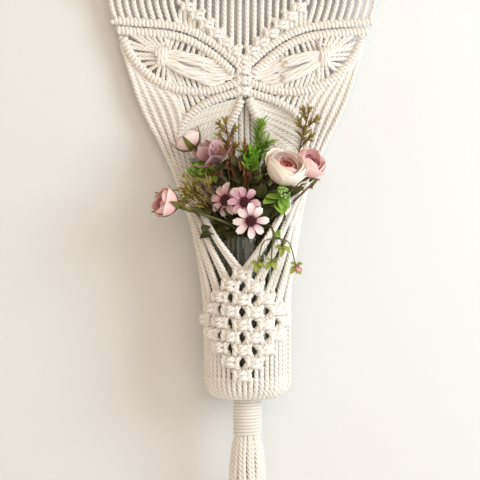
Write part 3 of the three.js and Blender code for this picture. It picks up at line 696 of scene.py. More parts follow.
@dataclass(frozen=True)
class Paint(Finish):
    """Matt paint on the wall and floor, which the camera doesn't see from behind."""

    coat: Colour
    shade: Colour

    def wire(self, wiring: Wiring, shader: Node) -> None:
        """Wire the roller's grain, and clear the back."""
        place = wiring.place()
        grain = wiring.mottle(place, 420.0)
        faint = wiring.scaled(wiring.mottle(place, 3.0), 0.03)
        wiring.fill(shader, Base_Color=wiring.blend(faint, self.coat, self.shade), Roughness=0.9,
                    Specular_IOR_Level=0.1)
        wiring.relief(shader, grain, 0.12, 0.2)
        clear = wiring.node("BsdfTransparent")
        behind = wiring.node("NewGeometry")
        wiring.split(behind.outputs["Backfacing"], shader, clear)


# Cotton's pale colour is painted light on the strands' crests, and its dark one painted shade in their
# grooves.
COTTON = Cotton("laid_cotton", "cotton_cord", shade_of(254, 252, 249), shade_of(226, 215, 202))
WOOD = Wood("planed_dowel", "dowel_wood", shade_of(216, 182, 136), shade_of(168, 124, 78))
# The jar glass's smoky olive tint is painted shade for the jar's dark, shaded inside.
GLASS = Glass("jar_glass", "clear_glass", (0.68, 0.68, 0.6, 1.0))
STEM = Bark("stem_bark", "stem_green", shade_of(62, 62, 26), shade_of(116, 122, 58))
TWIG = Bark("twig_bark", "leaf_bronze", shade_of(78, 48, 22), shade_of(132, 92, 46))
PEACH = Petal("peach_petal", "petal_peach", shade_of(254, 220, 200), shade_of(255, 236, 220),
              shade_of(255, 248, 239), shade_of(206, 96, 104))
PINK = Petal("pink_petal", "petal_pink", shade_of(224, 140, 148), shade_of(240, 182, 182),
             shade_of(252, 222, 218), shade_of(190, 84, 98))
BLUSH = Petal("blush_petal", "petal_peach", shade_of(228, 168, 168), shade_of(240, 206, 202),
              shade_of(250, 230, 224), shade_of(206, 110, 122))
MAUVE = Petal("mauve_petal", "petal_mauve", shade_of(176, 84, 112), shade_of(196, 150, 158),
              shade_of(226, 196, 198), shade_of(150, 92, 104))
DAISY = Petal("daisy_petal", "petal_white", shade_of(152, 66, 98), shade_of(242, 210, 214),
              shade_of(255, 249, 245), shade_of(180, 96, 130))
EYE = Eye("daisy_florets", "daisy_eye", shade_of(64, 14, 26), shade_of(128, 50, 52))
DARK_LEAF = Leaf("dark_leaf", "stem_green", shade_of(44, 42, 18), shade_of(82, 82, 38),
                 shade_of(112, 112, 62))
LIME_LEAF = Leaf("lime_leaf", "leaf_bright", shade_of(88, 124, 34), shade_of(156, 190, 70),
                 shade_of(196, 214, 126))
NEEDLE = Leaf("needle_leaf", "leaf_bright", shade_of(84, 120, 32), shade_of(146, 180, 60),
              shade_of(184, 214, 120))
OLIVE_LEAF = Leaf("olive_leaf", "leaf_bronze", shade_of(98, 84, 26), shade_of(166, 148, 60),
                  shade_of(184, 164, 90))
RUSSET_LEAF = Leaf("russet_leaf", "leaf_bronze", shade_of(92, 50, 26), shade_of(150, 96, 46),
                   shade_of(160, 112, 60))
SEPAL = Leaf("sepal_leaf", "stem_green", shade_of(70, 70, 22), shade_of(122, 120, 44),
             shade_of(150, 146, 76))
FLORET = Leaf("floret_leaf", "leaf_bright", shade_of(112, 120, 42), shade_of(180, 188, 88),
              shade_of(216, 214, 144))
BRIGHT_LEAF = Leaf("bright_leaf", "leaf_bright", shade_of(88, 140, 24), shade_of(130, 192, 50),
                   shade_of(178, 218, 102))
STAMEN = Leaf("stamen_thread", "leaf_bright", shade_of(150, 196, 96), shade_of(208, 232, 162),
              shade_of(240, 248, 218))
PAINT = Paint("wall_paint", "stage", shade_of(234, 234, 235), (0.7, 0.67, 0.62, 1.0))


def settle(obj: bpy.types.Object, body: Body, finish: Finish, *nodes: str) -> None:
    """Put a finished piece on its body in place of its solids.

    Args:
        obj: the piece.
        body: the body that it moves with.
        finish: not used.
        nodes: the CAD nodes that it stands for.
    """
    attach(obj, body.value)
    if nodes:
        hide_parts(*nodes)
    LOG.info("%s on %s: %d faces", obj.name, body.value, len(obj.data.polygons))


# Cord work


@dataclass(frozen=True)
class Layout:
    """Sizes that the sub-assemblies share."""

    loops: int = 18
    loop_pitch: float = 13.8
    jar_y: float = -39.8
    ring: float = 37.3
    cord: float = 5.0
    jar_base: float = -366.0
    jar_height: float = 134.0
    jar_travel: float = 124.0
    net_lift: float = 102.5
    net_pitch: float = 11.3
    net_rows: int = 9
    upper: Spots = ((120, -38), (65.1, -43.5), (48.4, -35.5), (3, -79.8))
    lower: Spots = ((110, -53), (97, -94), (50, -118), (2, -92))
    leaf: Spots = ((2, -102), (28, -111), (54, -115), (60, -147))
    edge: Spots = ((5.5, -109), (13, -137), (33, -163), (51, -160))
    chevron_tip: float = -74.0
    chevron_rise: float = 0.95
    chevron_step: float = 8.5
    chevron_knots: int = 6
    second_drop: float = 8.6
    edge_lean: float = 3.8
    net_turn: float = -0.22
    side_cords: int = 10
    back_cords: int = 10
    back_start: float = 11.4

    @property
    def mouth_z(self) -> float:
        """The height of the jar's mouth."""
        return self.jar_base + self.jar_height

    @property
    def rim_top(self) -> float:
        """The height to which the pocket's floor turns up."""
        return self.jar_base + 5.7

    @property
    def cord_angle(self) -> float:
        """One cord's share of the pocket's ring, in radians."""
        return self.cord / self.ring

    def front_angle(self, side: Side, i: int) -> float:
        """Where one of the side cords runs down the pocket."""
        return side.value * (i + 0.5) * self.cord_angle + self.net_turn

    def back_angle(self, side: Side, i: int) -> float:
        """Where one of the back cords runs down the pocket."""
        first = self.back_start * self.cord_angle + side.value * self.net_turn
        return side.value * (first + (math.pi - first) / (self.back_cords - 0.5) * i)

    def row_z(self, row: float) -> float:
        """The height of a row of net knots."""
        return self.jar_base + self.net_lift - row * self.net_pitch

    def chevron_z(self, x: float) -> float:
        """The height of the chevron's knots."""
        return self.chevron_tip + self.chevron_rise * abs(x)

    def on_pocket(self, angle: float, radius: float, z: float) -> Line:
        """A point round the pocket, from its front towards +X."""
        return np.array([radius * math.sin(angle), self.jar_y - radius * math.cos(angle), z])

    def bar(self, name: str, side: Side) -> Line:
        """The middle of a half-hitch bar.

        Args:
            name: upper, second, lower, leaf or edge.
            side: the half that it is on.

        Returns:
            Its points, from the panel's outside inwards.
        """
        if name != "second":
            line = bezier(getattr(self, name), side)
            if name == "edge" and side is Side.LEFT:
                line[:, 0] += self.edge_lean * np.linspace(1, 0, len(line))
            return line
        upper = bezier(self.upper, side)
        slopes = np.gradient(upper, axis=0)
        slopes /= np.linalg.norm(slopes, axis=1, keepdims=True)
        down = np.stack([slopes[:, 2], np.zeros(len(upper)), -slopes[:, 0]], axis=1)
        down *= np.where(down[:, 2:] > 0, -1.0, 1.0)
        return (upper + self.second_drop * down)[4:]

    def clear_of_jar(self, line: Line) -> Line:
        """Push a cord's points out of the room that the jar takes as it is lifted."""
        out = line.copy()
        flat = out[:, :2] - np.array([0.0, self.jar_y])
        reach = np.linalg.norm(flat, axis=1)
        near = (out[:, 2] < self.mouth_z + self.jar_travel) & (reach < self.ring)
        out[near, :2] = np.array([0.0, self.jar_y]) + flat[near] * (self.ring / reach[near])[:, None]
        return out


def turned(name: str, sides: int, diameter: float, length: float, **place: Spot) -> bpy.types.Object:
    """A cylinder, placed as its operator says, as a new object at the origin."""
    bpy.ops.object.select_all(action="DESELECT")
    bpy.ops.mesh.primitive_cylinder_add(vertices=sides, radius=diameter / 2 * MM, depth=length * MM, **place)
    obj = bpy.context.object
    obj.name = name
    bpy.ops.object.transform_apply(location=True, rotation=True, scale=True)
    return obj


def smooth(obj: bpy.types.Object, finish: Finish, width: float, segments: int, degrees: float) -> None:
    """Round the edges of the active object that are sharper than an angle, and give it its finish."""
    bevel = obj.modifiers.new("edges", "BEVEL")
    bevel.width = width * MM
    bevel.segments = segments
    bevel.limit_method = "ANGLE"
    bevel.angle_limit = math.radians(degrees)
    bpy.ops.object.modifier_apply(modifier=bevel.name)
    bpy.ops.object.shade_smooth_by_angle(angle=math.radians(degrees))
    obj.data.materials.clear()
    obj.data.materials.append(finish.material())


@dataclass
class Dowel:
    """The rod that the panel hangs from."""

    diameter: float = 16.0
    length: float = 290.0
    edge: float = 1.2

    def build(self) -> None:
        """Turn the dowel and break its edges."""
        rod = turned("planed_rod", 48, self.diameter, self.length, rotation=(0, math.pi / 2, 0))
        smooth(rod, WOOD, self.edge, 3, 40)
        settle(rod, Body.ROD, WOOD, "hanging_rod")


@dataclass
class Curtain:
    """The cords on their mounting loops, the chevron that ties the middle ones, and the knots below it.

    over_dowel holds [y, z] of one end of a loop, from below the dowel up its back and over to its front.
    bight holds [share, y, z] of what joins the two ends, with the share in quarters of the loops' pitch.
    """

    layout: Layout
    side_loops: int = 4
    pulled: float = 0.9
    over_dowel: Spots = ((-2.5, -22), (-5.2, -14), (6.6, -8.5), (10.6, 0), (7.5, 7.4), (0, 10.6),
                         (-7.5, 7.4), (-10.6, 0))
    bight: Spots = ((-0.95, -10.8, -6.5), (-0.3, -11.4, -10.4), (0.3, -11.4, -10.4), (0.95, -10.8, -6.5))
    arm_catch: float = 9.5
    above_knot: float = 3.0
    knot_ends: Spot = (-2.2, 2.2)
    last_knot_ends: Spot = (-6.4, -2.2, 2.2, 6.4)
    least_drop: float = 9.0
    centre_knots: int = 3
    centre_top: float = -83.0
    centre_pitch: float = 9.6

    def build(self) -> None:
        """Lay every cord and tie every knot."""
        loops, side = self.layout.loops, self.side_loops
        bounds = (0, side, loops - side, loops)
        for i, word in enumerate(("left", "middle", "right")):
            mesh = CordMesh(f"mounted_cords_{word}", 11 + i)
            for loop in range(bounds[i], bounds[i + 1]):
                self._mounting(mesh, loop)
            mesh.settle(COTTON, f"top_cords_{word}")
        self._chevron()
        self._centre()

    def _mounting(self, mesh: CordMesh, loop: int) -> None:
        """One doubled cord, looped over the dowel, with its two ends hanging."""
        layout = self.layout
        middle = (loop - (layout.loops - 1) / 2) * layout.loop_pitch
        half = layout.loop_pitch / 4
        ends = [[self._landing(x), *((x, y, z) for y, z in self.over_dowel)]
                for x in (middle - half, middle + half)]
        bight = [(middle + half * share, y, z) for share, y, z in self.bight]
        path = [*ends[0], *bight, *reversed(ends[1])]
        mesh.cord(through(path, PANEL_CORD.step), PANEL_CORD, self.pulled)

    def _landing(self, x: float) -> Spot:
        """Where the cord that leaves the dowel at x ends."""
        layout = self.layout
        arm = layout.chevron_knots * layout.chevron_step
        if abs(x) < arm + self.arm_catch:
            reached = min(abs(x), arm)
            return (math.copysign(reached, x), 0.0, layout.chevron_z(reached) + self.above_knot)
        side = Side.LEFT if x < 0 else Side.RIGHT
        upper = spaced(layout.bar("upper", side), 0.5)
        from_edge = (layout.loops * layout.loop_pitch / 2 - abs(x)) / (layout.loop_pitch / 2)
        return tuple(along(upper, from_edge / layout.loops))

    def _chevron(self) -> None:
        """Two arms of small square knots, and the cords from each down to the bar."""
        layout = self.layout
        mesh = CordMesh("chevron_work", 21)
        for i in range(-layout.chevron_knots, layout.chevron_knots + 1):
            x = i * layout.chevron_step
            z = layout.chevron_z(x)
            flat_knot(mesh, x, z)
            upper = layout.bar("upper", Side.LEFT if x < 0 else Side.RIGHT)
            for shift in self.knot_ends if abs(i) < layout.chevron_knots else self.last_knot_ends:
                landing = upper[np.argmin(np.abs(upper[:, 0] - x - shift))]
                if z - landing[2] > self.least_drop:
                    spots = [(x + shift, -0.5, z - 3), (x + shift, 0.8, (z + landing[2]) / 2), landing]
                    mesh.straight(spots, PANEL_CORD, self.pulled)
        mesh.settle(COTTON, "knot_chevron")

    def _centre(self) -> None:
        """The column of knots where the two halves meet."""
        mesh = CordMesh("centre_knot_work", 22)
        for i in range(self.centre_knots):
            flat_knot(mesh, 0.0, self.centre_top - i * self.centre_pitch)
        mesh.settle(COTTON, "centre_knots")


@dataclass(frozen=True)
class Lump:
    """A loose lump of combed cords.

    middle holds [x, z] from the tie inwards, tails [x, z] of each tail's bend and end, cords [across, out].
    """

    middle: Spots
    tails: tuple[tuple[Spot, Spot], ...]
    cords: Spots = ((-3.1, 3.0), (0.0, 4.0), (3.1, 3.0), (-2.6, 0.0), (2.6, 0.0))
    tail_swell: float = 0.86


def at_reach(line: Line, reach: float) -> Line:
    """The point of a line that is nearest to a distance from the panel's middle."""
    return line[np.argmin(np.abs(np.abs(line[:, 0]) - reach))]


@dataclass
class Wing:
    """One half of the panel: its bars, the tied bunch, the lower leaf and the cords down to the pocket.

    Points are those of the right-hand half. upper_fan holds [x on the second bar, x and z at the tie],
    outer_fan [z on the lower bar, z at the tie], inner_fan [x on the lower bar, x at the tie], and crossing
    [x, y, z, share of the spread] of the cords between the lumps. strap holds [inner x, outer x, z] of the
    side cords' upper run, and strap_end the x of its foot and the foot's rise over the jar's mouth.
    """

    layout: Layout
    side: Side
    lower_cords: int = 10
    fan_swell: float = 0.8
    tie_x: float = 74.5
    tie_z: float = -70.8
    tie_y: float = -2.5
    tie_turns: float = 3.7
    upper_fan: Spots = ((106, 80, -67.5), (99, 80, -66), (92, 79, -63.5), (85.5, 76.5, -62),
                        (79, 73.5, -61.5), (72.5, 70, -62.5))
    outer_fan: Spots = ((-56.5, -67.2), (-62, -66), (-68, -69.5), (-73, -73), (-79, -76.5), (-85, -78.5))
    outer_fan_x: float = 79.0
    inner_fan: Spots = ((79, 76), (74, 72.5), (69, 69))
    inner_fan_z: float = -78.0
    upper_lump: Lump = Lump(
        ((72, -68.5), (67, -69), (58, -70.8), (48.8, -73.1), (39.6, -75.4), (34.5, -76.4)),
        (((29, -74.6), (24, -76.5)), ((29, -78), (17, -80.5)),
         ((29, -81.3), (11, -84)), ((28, -84.6), (6, -87))))
    lower_lump: Lump = Lump(
        ((72, -75), (67, -77.5), (58, -82.5), (48.8, -86.5), (40, -89.6), (35, -91)),
        (((28, -87.8), (7, -88.8)), ((27, -91.2), (10, -90.8)),
         ((27, -94.5), (17, -94)), ((29, -97.6), (24, -98))))
    crossing: Spots = ((70, 0.2, -72.4, 0.0), (58, 0.9, -76.6, 0.6), (46, 0.9, -80.2, 1.0),
                       (32, 0.6, -83.2, 0.8))
    crossing_spread: Spot = (-2.6, 0.0, 2.6)
    lump_fan: int = 9
    leaf_cords: int = 14
    leaf_swell: float = 0.88
    middle_cords: int = 2
    middle_start: Spot = (0.52, 7.0, -104.0)
    middle_step: float = 4.0
    side_swell: float = 0.94
    side_depths: Spot = (-2.3, 2.1)
    strap: Spots = ((58, 92.5, -116), (51, 74.5, -152))
    strap_press: Spot = (0.6, 0.9)
    strap_end: Spot = (62.0, 47.0)
    spacing: float = 3.4
    net_lean: float = 0.45
    net_out: float = 6.0
    net_rise: float = 34.0
    bars: dict[str, Line] = field(default_factory=dict)

    def __post_init__(self) -> None:
        """Lay out the half's bars."""
        for name in ("upper", "second", "lower", "leaf", "edge"):
            self.bars[name] = self.layout.bar(name, self.side)

    def build(self) -> None:
        """Build the half's pieces."""
        self._bar_piece("upper", 31)
        self._bar_piece("second", 32)
        self._lower()
        self._bunch()
        self._tie()
        self._leaf()
        self._back()
        self._sides()

    def _piece(self, words: str, seed: int) -> CordMesh:
        """An empty mesh for a piece of this half."""
        return CordMesh(f"{words}_{self.side.word}", seed + 100 * self.side.value)

    def _settle(self, mesh: CordMesh, node: str) -> None:
        """Finish a piece of this half in place of its node."""
        mesh.settle(COTTON, f"{node}_{self.side.word}")

    def _spot(self, x: float, y: float, z: float) -> Spot:
        """A point of the right-hand half, mirrored where this half is the left."""
        return (self.side.value * x, y, z)

    def _bar_piece(self, name: str, seed: int) -> None:
        """One bar of half-hitches."""
        mesh = self._piece(f"hitched_{name}_bar", seed)
        hitch_bar(mesh, self.bars[name])
        self._settle(mesh, f"{name}_bar")

    def _lower(self) -> None:
        """The lower bar, and the cords from it to the leaf's bar."""
        mesh = self._piece("hitched_lower_bar", 33)
        hitch_bar(mesh, self.bars["lower"])
        for i in range(self.lower_cords):
            start = along(self.bars["lower"], 0.5 + 0.037 * i)
            end = along(self.bars["leaf"], 0.92 - 0.082 * i)
            mesh.straight([start, (start + end) / 2 + np.array([0, 1.4, 0]), end], PANEL_CORD, 0.9)
        self._settle(mesh, "lower_bar")

    def _to(self, mesh: CordMesh, start: Line, x: float, y: float, z: float) -> None:
        """A fan cord from a bar to a point of this half."""
        end = np.array(self._spot(x, y, z))
        mesh.straight([start, start * 0.5 + end * 0.5, end], PANEL_CORD, self.fan_swell)

    def _bunch(self) -> None:
        """The cords of the upper wing, gathered to the tie and combed out past it."""
        mesh = self._piece("combed_bunch", 34)
        second, lower = self.bars["second"], self.bars["lower"]
        outer = lower[: len(lower) // 2]
        face = self.tie_y - 2.0
        for x, end_x, end_z in self.upper_fan:
            self._to(mesh, at_reach(second, x), end_x, face, end_z)
        for z, end_z in self.outer_fan:
            self._to(mesh, outer[np.argmin(np.abs(outer[:, 2] - z))], self.outer_fan_x, face, end_z)
        for x, end_x in self.inner_fan:
            self._to(mesh, at_reach(lower, x), end_x, face + 2, self.inner_fan_z)
        self._lump(mesh, self.upper_lump)
        self._lump(mesh, self.lower_lump)
        for lift in self.crossing_spread:
            spots = [self._spot(x, y, z + lift * share) for x, y, z, share in self.crossing]
            mesh.straight(spots, COMBED_CORD)
        above = np.array([(x, 0, z) for x, z in self.upper_lump.middle])
        below = np.array([(x, 0, z) for x, z in self.lower_lump.middle])
        for i in range(self.lump_fan):
            share = i / (self.lump_fan - 1)
            for bar, edge, first, width in ((second, above, 67, 37), (lower, below, 65, 35)):
                x, _, z = along(edge, share)
                self._to(mesh, at_reach(bar, first - width * share), x, 0.6, z)
        self._settle(mesh, "wing_cords")

    def _lump(self, mesh: CordMesh, lump: Lump) -> None:
        """A loose lump of combed cords, and the thinner tails from its end."""
        line = through([self._spot(x, self.tie_y, z) for x, z in lump.middle], COMBED_CORD.step)
        share = np.linspace(0, 1, len(line))
        spread = np.interp(share, [0, 0.3, 0.75, 1], [0.6, 1.0, 1.05, 0.8])[:, None]
        for across, out in lump.cords:
            wave = np.array([mesh.draw.uniform(-0.5, 0.5), 0.0, mesh.draw.uniform(-0.5, 0.5)])
            path = line + spread * (np.array([0.0, -out, across]) + wave)
            keep = len(path) - mesh.draw.randint(0, 3)
            taper = np.interp(share[:keep], [0, 0.88, share[keep - 1]], [0.9, 1.0, 0.6])
            mesh.cord(path[:keep], COMBED_CORD, taper)
        for i, (bend, end) in enumerate(lump.tails):
            start = line[-6] + np.array([0.0, -0.6, 2.7 - 1.8 * i])
            spots = [start, self._spot(bend[0], -1.6, bend[1]), self._spot(end[0], 0.0, end[1])]
            mesh.straight(spots, COMBED_CORD, lump.tail_swell)

    def _tie(self) -> None:
        """The short cord wound round the bunch."""
        mesh = self._piece("bunch_winding", 35)
        turns = np.linspace(0, self.tie_turns * TAU, 150)
        share = turns / turns[-1]
        bulge = 0.82 + 0.18 * np.sin(math.pi * share)
        x = self.side.value * (self.tie_x + 5.6 - 9.6 * share)
        y = self.tie_y - 5.4 * bulge * np.cos(turns)
        z = self.tie_z + 8.0 * bulge * np.sin(turns)
        mesh.cord(spaced(np.stack([x, y, z], axis=1), TIE_CORD.step), TIE_CORD)
        self._settle(mesh, "bunch_tie")

    def _leaf(self) -> None:
        """The leaf's bar, and the cords that fill the leaf."""
        mesh = self._piece("hitched_leaf_bar", 36)
        hitch_bar(mesh, self.bars["leaf"])
        leaf, edge = self.bars["leaf"], self.bars["edge"]
        rim = spaced(np.concatenate([leaf[int(0.7 * len(leaf)):], edge[: int(0.72 * len(edge)): -1]]), 0.5)
        for i in range(self.leaf_cords):
            start = along(edge, 0.01 + 0.034 * i)
            end = along(rim, i / (self.leaf_cords - 1))
            middle = (start + end) / 2 + np.array([0, 1.4 + 1.2 * (i % 2), 1.2])
            mesh.straight([start, middle, end], PANEL_CORD, self.leaf_swell)
        self._settle(mesh, "leaf_bar")

    def _back(self) -> None:
        """The edge bar, and the cords from it down behind the jar."""
        layout = self.layout
        mesh = self._piece("pocket_back_cords", 37)
        hitch_bar(mesh, self.bars["edge"])
        for i in range(layout.back_cords):
            start = along(self.bars["edge"], 0.7 - 0.55 * i / layout.back_cords)
            from_middle = layout.back_cords - 1 - i
            if from_middle < self.middle_cords:
                share, y, z = self.middle_start
                x = layout.edge_lean / 2 + self.side.value * layout.cord * (from_middle + share)
                start = np.array([x, y, z - self.middle_step * from_middle])
            angle = layout.back_angle(self.side, i)
            ring = layout.on_pocket(angle, layout.ring, layout.mouth_z - 8)
            foot = layout.on_pocket(angle, layout.ring, layout.rim_top)
            spots = [start, start + (ring - start) / 2, ring, (ring + foot) / 2, foot]
            mesh.cord(layout.clear_of_jar(through(spots, PANEL_CORD.step)), PANEL_CORD)
        self._settle(mesh, "back_cords")

    def _sides(self) -> None:
        """The cords along the panel's edge, which fan out onto the front net."""
        layout = self.layout
        mesh = self._piece("fanned_side_cords", 38)
        for i in range(layout.side_cords):
            path = through(self._side_path(i), PANEL_CORD.step)
            mesh.cord(layout.clear_of_jar(path), PANEL_CORD, self.side_swell)
        self._settle(mesh, "side_cords")

    def _side_path(self, i: int) -> list[Spot]:
        """The points of one side cord, from the lower bar to its row of the net."""
        layout, sign = self.layout, self.side.value
        columns = layout.side_cords // 2
        middle = (columns - 1) / 2 * self.spacing + layout.cord / 2
        column, front = i % columns, i < columns
        order = 2 * column + (1 if front else 0)
        depth = self.side_depths[0 if front else 1]
        top = along(self.bars["lower"], 0.48 - 0.048 * order)
        path = [tuple(top + np.array([sign * 0.4 * order, BAR_FORWARD, 0.0]))]
        for press, (inner, outer, z) in zip(self.strap_press, self.strap):
            x = inner + (outer - inner) * order / (layout.side_cords - 1)
            path.append(self._spot(x, depth * press, z))
        shift = column * self.spacing + layout.cord / 2 - middle + (0.0 if front else 0.8)
        end_x, end_rise = self.strap_end
        path.append(self._spot(end_x - middle + shift, depth, layout.mouth_z + end_rise))
        angle = layout.front_angle(self.side, i)
        z = layout.row_z(i // 2)
        back = i / layout.side_cords
        lean = angle + sign * self.net_lean * (1 - 0.7 * back)
        out = layout.ring + self.net_out + self.net_out * (1 - back)
        path.append(tuple(layout.on_pocket(lean, out, z + self.net_rise * (1 + back))))
        path.append(tuple(layout.on_pocket(angle, layout.ring, z + 4)))
        return path


@dataclass
class Pocket:
    """The knotted front net and the pocket's floor."""

    layout: Layout
    sag: float = 3.0
    floor_path: Spots = ((37.3, 8.0), (37.2, 2.5), (35.8, -3.4), (32.0, -8.4), (26.0, -11.0),
                         (19.5, -9.6), (14.5, -5.6), (11.0, -3.2))

    def build(self) -> None:
        """Tie the net and lay the floor."""
        self._net()
        self._floor()

    def _net(self) -> None:
        """Rows of square knots on the jar's curve, and the cords below them."""
        layout = self.layout
        mesh = CordMesh("knotted_net", 41)
        widest = (layout.net_rows - 1) / 2
        for row in range(layout.net_rows):
            count = int(widest + 1 - abs(row - widest))
            for i in range(count):
                angle = (i - (count - 1) / 2) * 4 * layout.cord_angle + layout.net_turn
                self._knot(mesh, angle, layout.row_z(row))
        for side in Side:
            for i in range(layout.side_cords):
                angle = layout.front_angle(side, i)
                top = layout.row_z(layout.net_rows - 1 - i // 2) - 5 + self._drop(angle)
                spots = [layout.on_pocket(angle, layout.ring, z) for z in (top, layout.rim_top)]
                if top - layout.rim_top > 4:
                    mesh.cord(spaced(np.array(spots), NET_CORD.step), NET_CORD, 0.84)
        mesh.settle(COTTON, "pocket_net")

    def _drop(self, angle: float) -> float:
        """How far a row hangs at an angle round the pocket."""
        return self.sag * (0.5 - math.cos(min(abs(angle) * 1.7, math.pi / 2)))

    def _knot(self, mesh: CordMesh, middle: float, z: float) -> None:
        """One square knot of the net."""
        layout = self.layout
        tilt = mesh.draw.gauss(0, 0.08)

        def place(across: float, down: float, out: float) -> Spot:
            angle = middle + (across + tilt * down) * layout.cord_angle
            height = z - (down - tilt * across) * layout.cord + self._drop(angle)
            return tuple(layout.on_pocket(angle, layout.ring + out * layout.cord, height))

        square_knot(mesh, place, NET_KNOT_CORD)

    def _floor(self) -> None:
        """The cords that close under the jar, thinner towards the middle."""
        layout = self.layout
        mesh = CordMesh("gathered_floor", 42)
        angles = [layout.front_angle(side, i) for side in Side for i in range(layout.side_cords)]
        angles += [layout.back_angle(side, i) for side in Side for i in range(layout.back_cords)]
        for angle in angles:
            spots = [layout.on_pocket(angle, radius, layout.jar_base + z) for radius, z in self.floor_path]
            line = through(spots, 1.1)
            reach = np.linalg.norm(line[:, :2] - np.array([0.0, layout.jar_y]), axis=1)
            mesh.cord(line, PANEL_CORD, np.clip(reach / 30.0, 0.46, 0.98))
        mesh.settle(COTTON, "pocket_floor")


@dataclass
class Tassel:
    """The wound gathering and the cord ends below it, in rings of [count, radius wrapped, radius below]."""

    layout: Layout
    turns: int = 12
    pitch: float = 2.95
    wrap_radius: float = 11.65
    wrap_drop: float = 11.55
    end_drop: float = 143.0
    rings: tuple[tuple[int, float, float], ...] = ((22, 8.8, 14.9), (13, 5.4, 10.2), (6, 2.4, 4.6))
    fibres: int = 7

    @property
    def wrap_top(self) -> float:
        """The height of the first turn."""
        return self.layout.jar_base - self.wrap_drop

    def build(self) -> None:
        """Wind the wrap and hang the ends."""
        self._wrap()
        self._skirt()

    def _wrap(self) -> None:
        """One cord, wound closely round the gathered ends."""
        mesh = CordMesh("wound_gathering", 51, Body.TASSEL)
        angle = np.linspace(0, self.turns * TAU, self.turns * 48)
        z = self.wrap_top - self.pitch * angle / TAU
        x = self.wrap_radius * np.sin(angle)
        y = self.layout.jar_y + self.wrap_radius * np.cos(angle)
        mesh.cord(spaced(np.stack([x, y, z], axis=1), WRAP_CORD.step), WRAP_CORD)
        mesh.settle(COTTON, "gather_wrap")

    def _skirt(self) -> None:
        """The cords' ends, with loose fibres where they are cut."""
        layout = self.layout
        mesh = CordMesh("hanging_ends", 52, Body.TASSEL)
        draw = mesh.draw
        bottom = self.wrap_top - self.turns * self.pitch
        for ring, (count, inner, outer) in enumerate(self.rings):
            for i in range(count):
                turn = TAU * (i + 0.5 * ring) / count + draw.uniform(-0.05, 0.05)
                end = layout.jar_base - self.end_drop + draw.uniform(-4.0, 4.0)
                spots = []
                for radius, z, sway in ((inner * 0.75, self.wrap_top + 1, 0.0), (inner, bottom + 4, 0.0),
                                        (inner + 2.2, bottom - 5, 0.0), (outer * 0.92, bottom - 27, 0.06),
                                        (outer, bottom - 59, 0.1), (outer - 0.4, end, 0.12)):
                    spots.append(layout.on_pocket(turn + draw.uniform(-sway, sway), radius, z))
                line = through(spots, PANEL_CORD.step)
                swell = np.interp(line[:, 2], [end, end + 5, bottom - 12, bottom], [1.12, 1.0, 1.0, 0.62])
                mesh.cord(line, PANEL_CORD, swell)
                self._fray(mesh, line)
        mesh.settle(COTTON, "tassel")

    def _fray(self, mesh: CordMesh, line: Line) -> None:
        """Loose fibres at a cut end."""
        for _ in range(self.fibres):
            turn = mesh.draw.uniform(0, TAU)
            reach = mesh.draw.uniform(0.4, 2.2)
            offset = np.array([reach * math.cos(turn), reach * math.sin(turn), 0.0])
            tip = line[-1] + offset * 1.5 + np.array([0.0, 0.0, -mesh.draw.uniform(1.5, 4.5)])
            mesh.cord(through([line[-3] + offset, line[-1] + offset * 1.1, tip], FIBRE.step), FIBRE)


# Jar and bouquet


@dataclass
class Jar:
    """The clear jar that stands in the pocket."""

    layout: Layout
    diameter: float = 68.0
    wall: float = 3.0
    floor: float = 6.0

    def build(self) -> None:
        """Blow the jar: a cylinder, hollowed from its top, with rounded rim and foot."""
        base, height = self.layout.jar_base, self.layout.jar_height
        middle = (0, self.layout.jar_y * MM, (base + height / 2) * MM)
        jar = turned("blown_jar", 96, self.diameter, height, location=middle)
        bpy.ops.object.mode_set(mode="EDIT")
        bpy.ops.mesh.select_mode(type="FACE")
        bpy.ops.mesh.select_all(action="DESELECT")
        bpy.ops.object.mode_set(mode="OBJECT")
        top = (base + height) * MM
        for face in jar.data.polygons:
            face.select = abs(face.center.z - top) < 1e-5
        bpy.ops.object.mode_set(mode="EDIT")
        bpy.ops.mesh.inset(thickness=self.wall * MM)
        down = (0, 0, -(height - self.floor) * MM)
        bpy.ops.mesh.extrude_region_move(TRANSFORM_OT_translate={"value": down})
        bpy.ops.object.mode_set(mode="OBJECT")
        smooth(jar, GLASS, self.wall * 0.45, 4, 50)
        settle(jar, Body.JAR, GLASS, "glass_jar")


LEAF_SHEET = 0.4
BROAD_SHEET = 0.45
SILK_SHEET = 0.5
ROSE_SHEET = 0.55


class Blank:
    """A primitive that bent copies are taken from."""

    def __init__(self, add: Callable[..., object], **sizes: float) -> None:
        """Model the primitive and keep its shape.

        Args:
            add: the operator that adds it.
            sizes: the operator's own sizes.
        """
        bpy.ops.object.select_all(action="DESELECT")
        add(**sizes)
        obj = bpy.context.object
        mesh = obj.data
        self.spots = np.array([vertex.co[:] for vertex in mesh.vertices])
        self.faces = [list(face.vertices) for face in mesh.polygons]
        layer = mesh.uv_layers.active
        self.uvs = np.array([loop.uv[:] for loop in layer.data])
        bpy.data.objects.remove(obj)
        bpy.data.meshes.remove(mesh)

    @property
    def across(self) -> Line:
        """Each point's share across a sheet, from -1 to 1."""
        return 2 * self.spots[:, 0]

    @property
    def length(self) -> Line:
        """Each point's share along a sheet, from 0 to 1."""
        return self.spots[:, 1] + 0.5


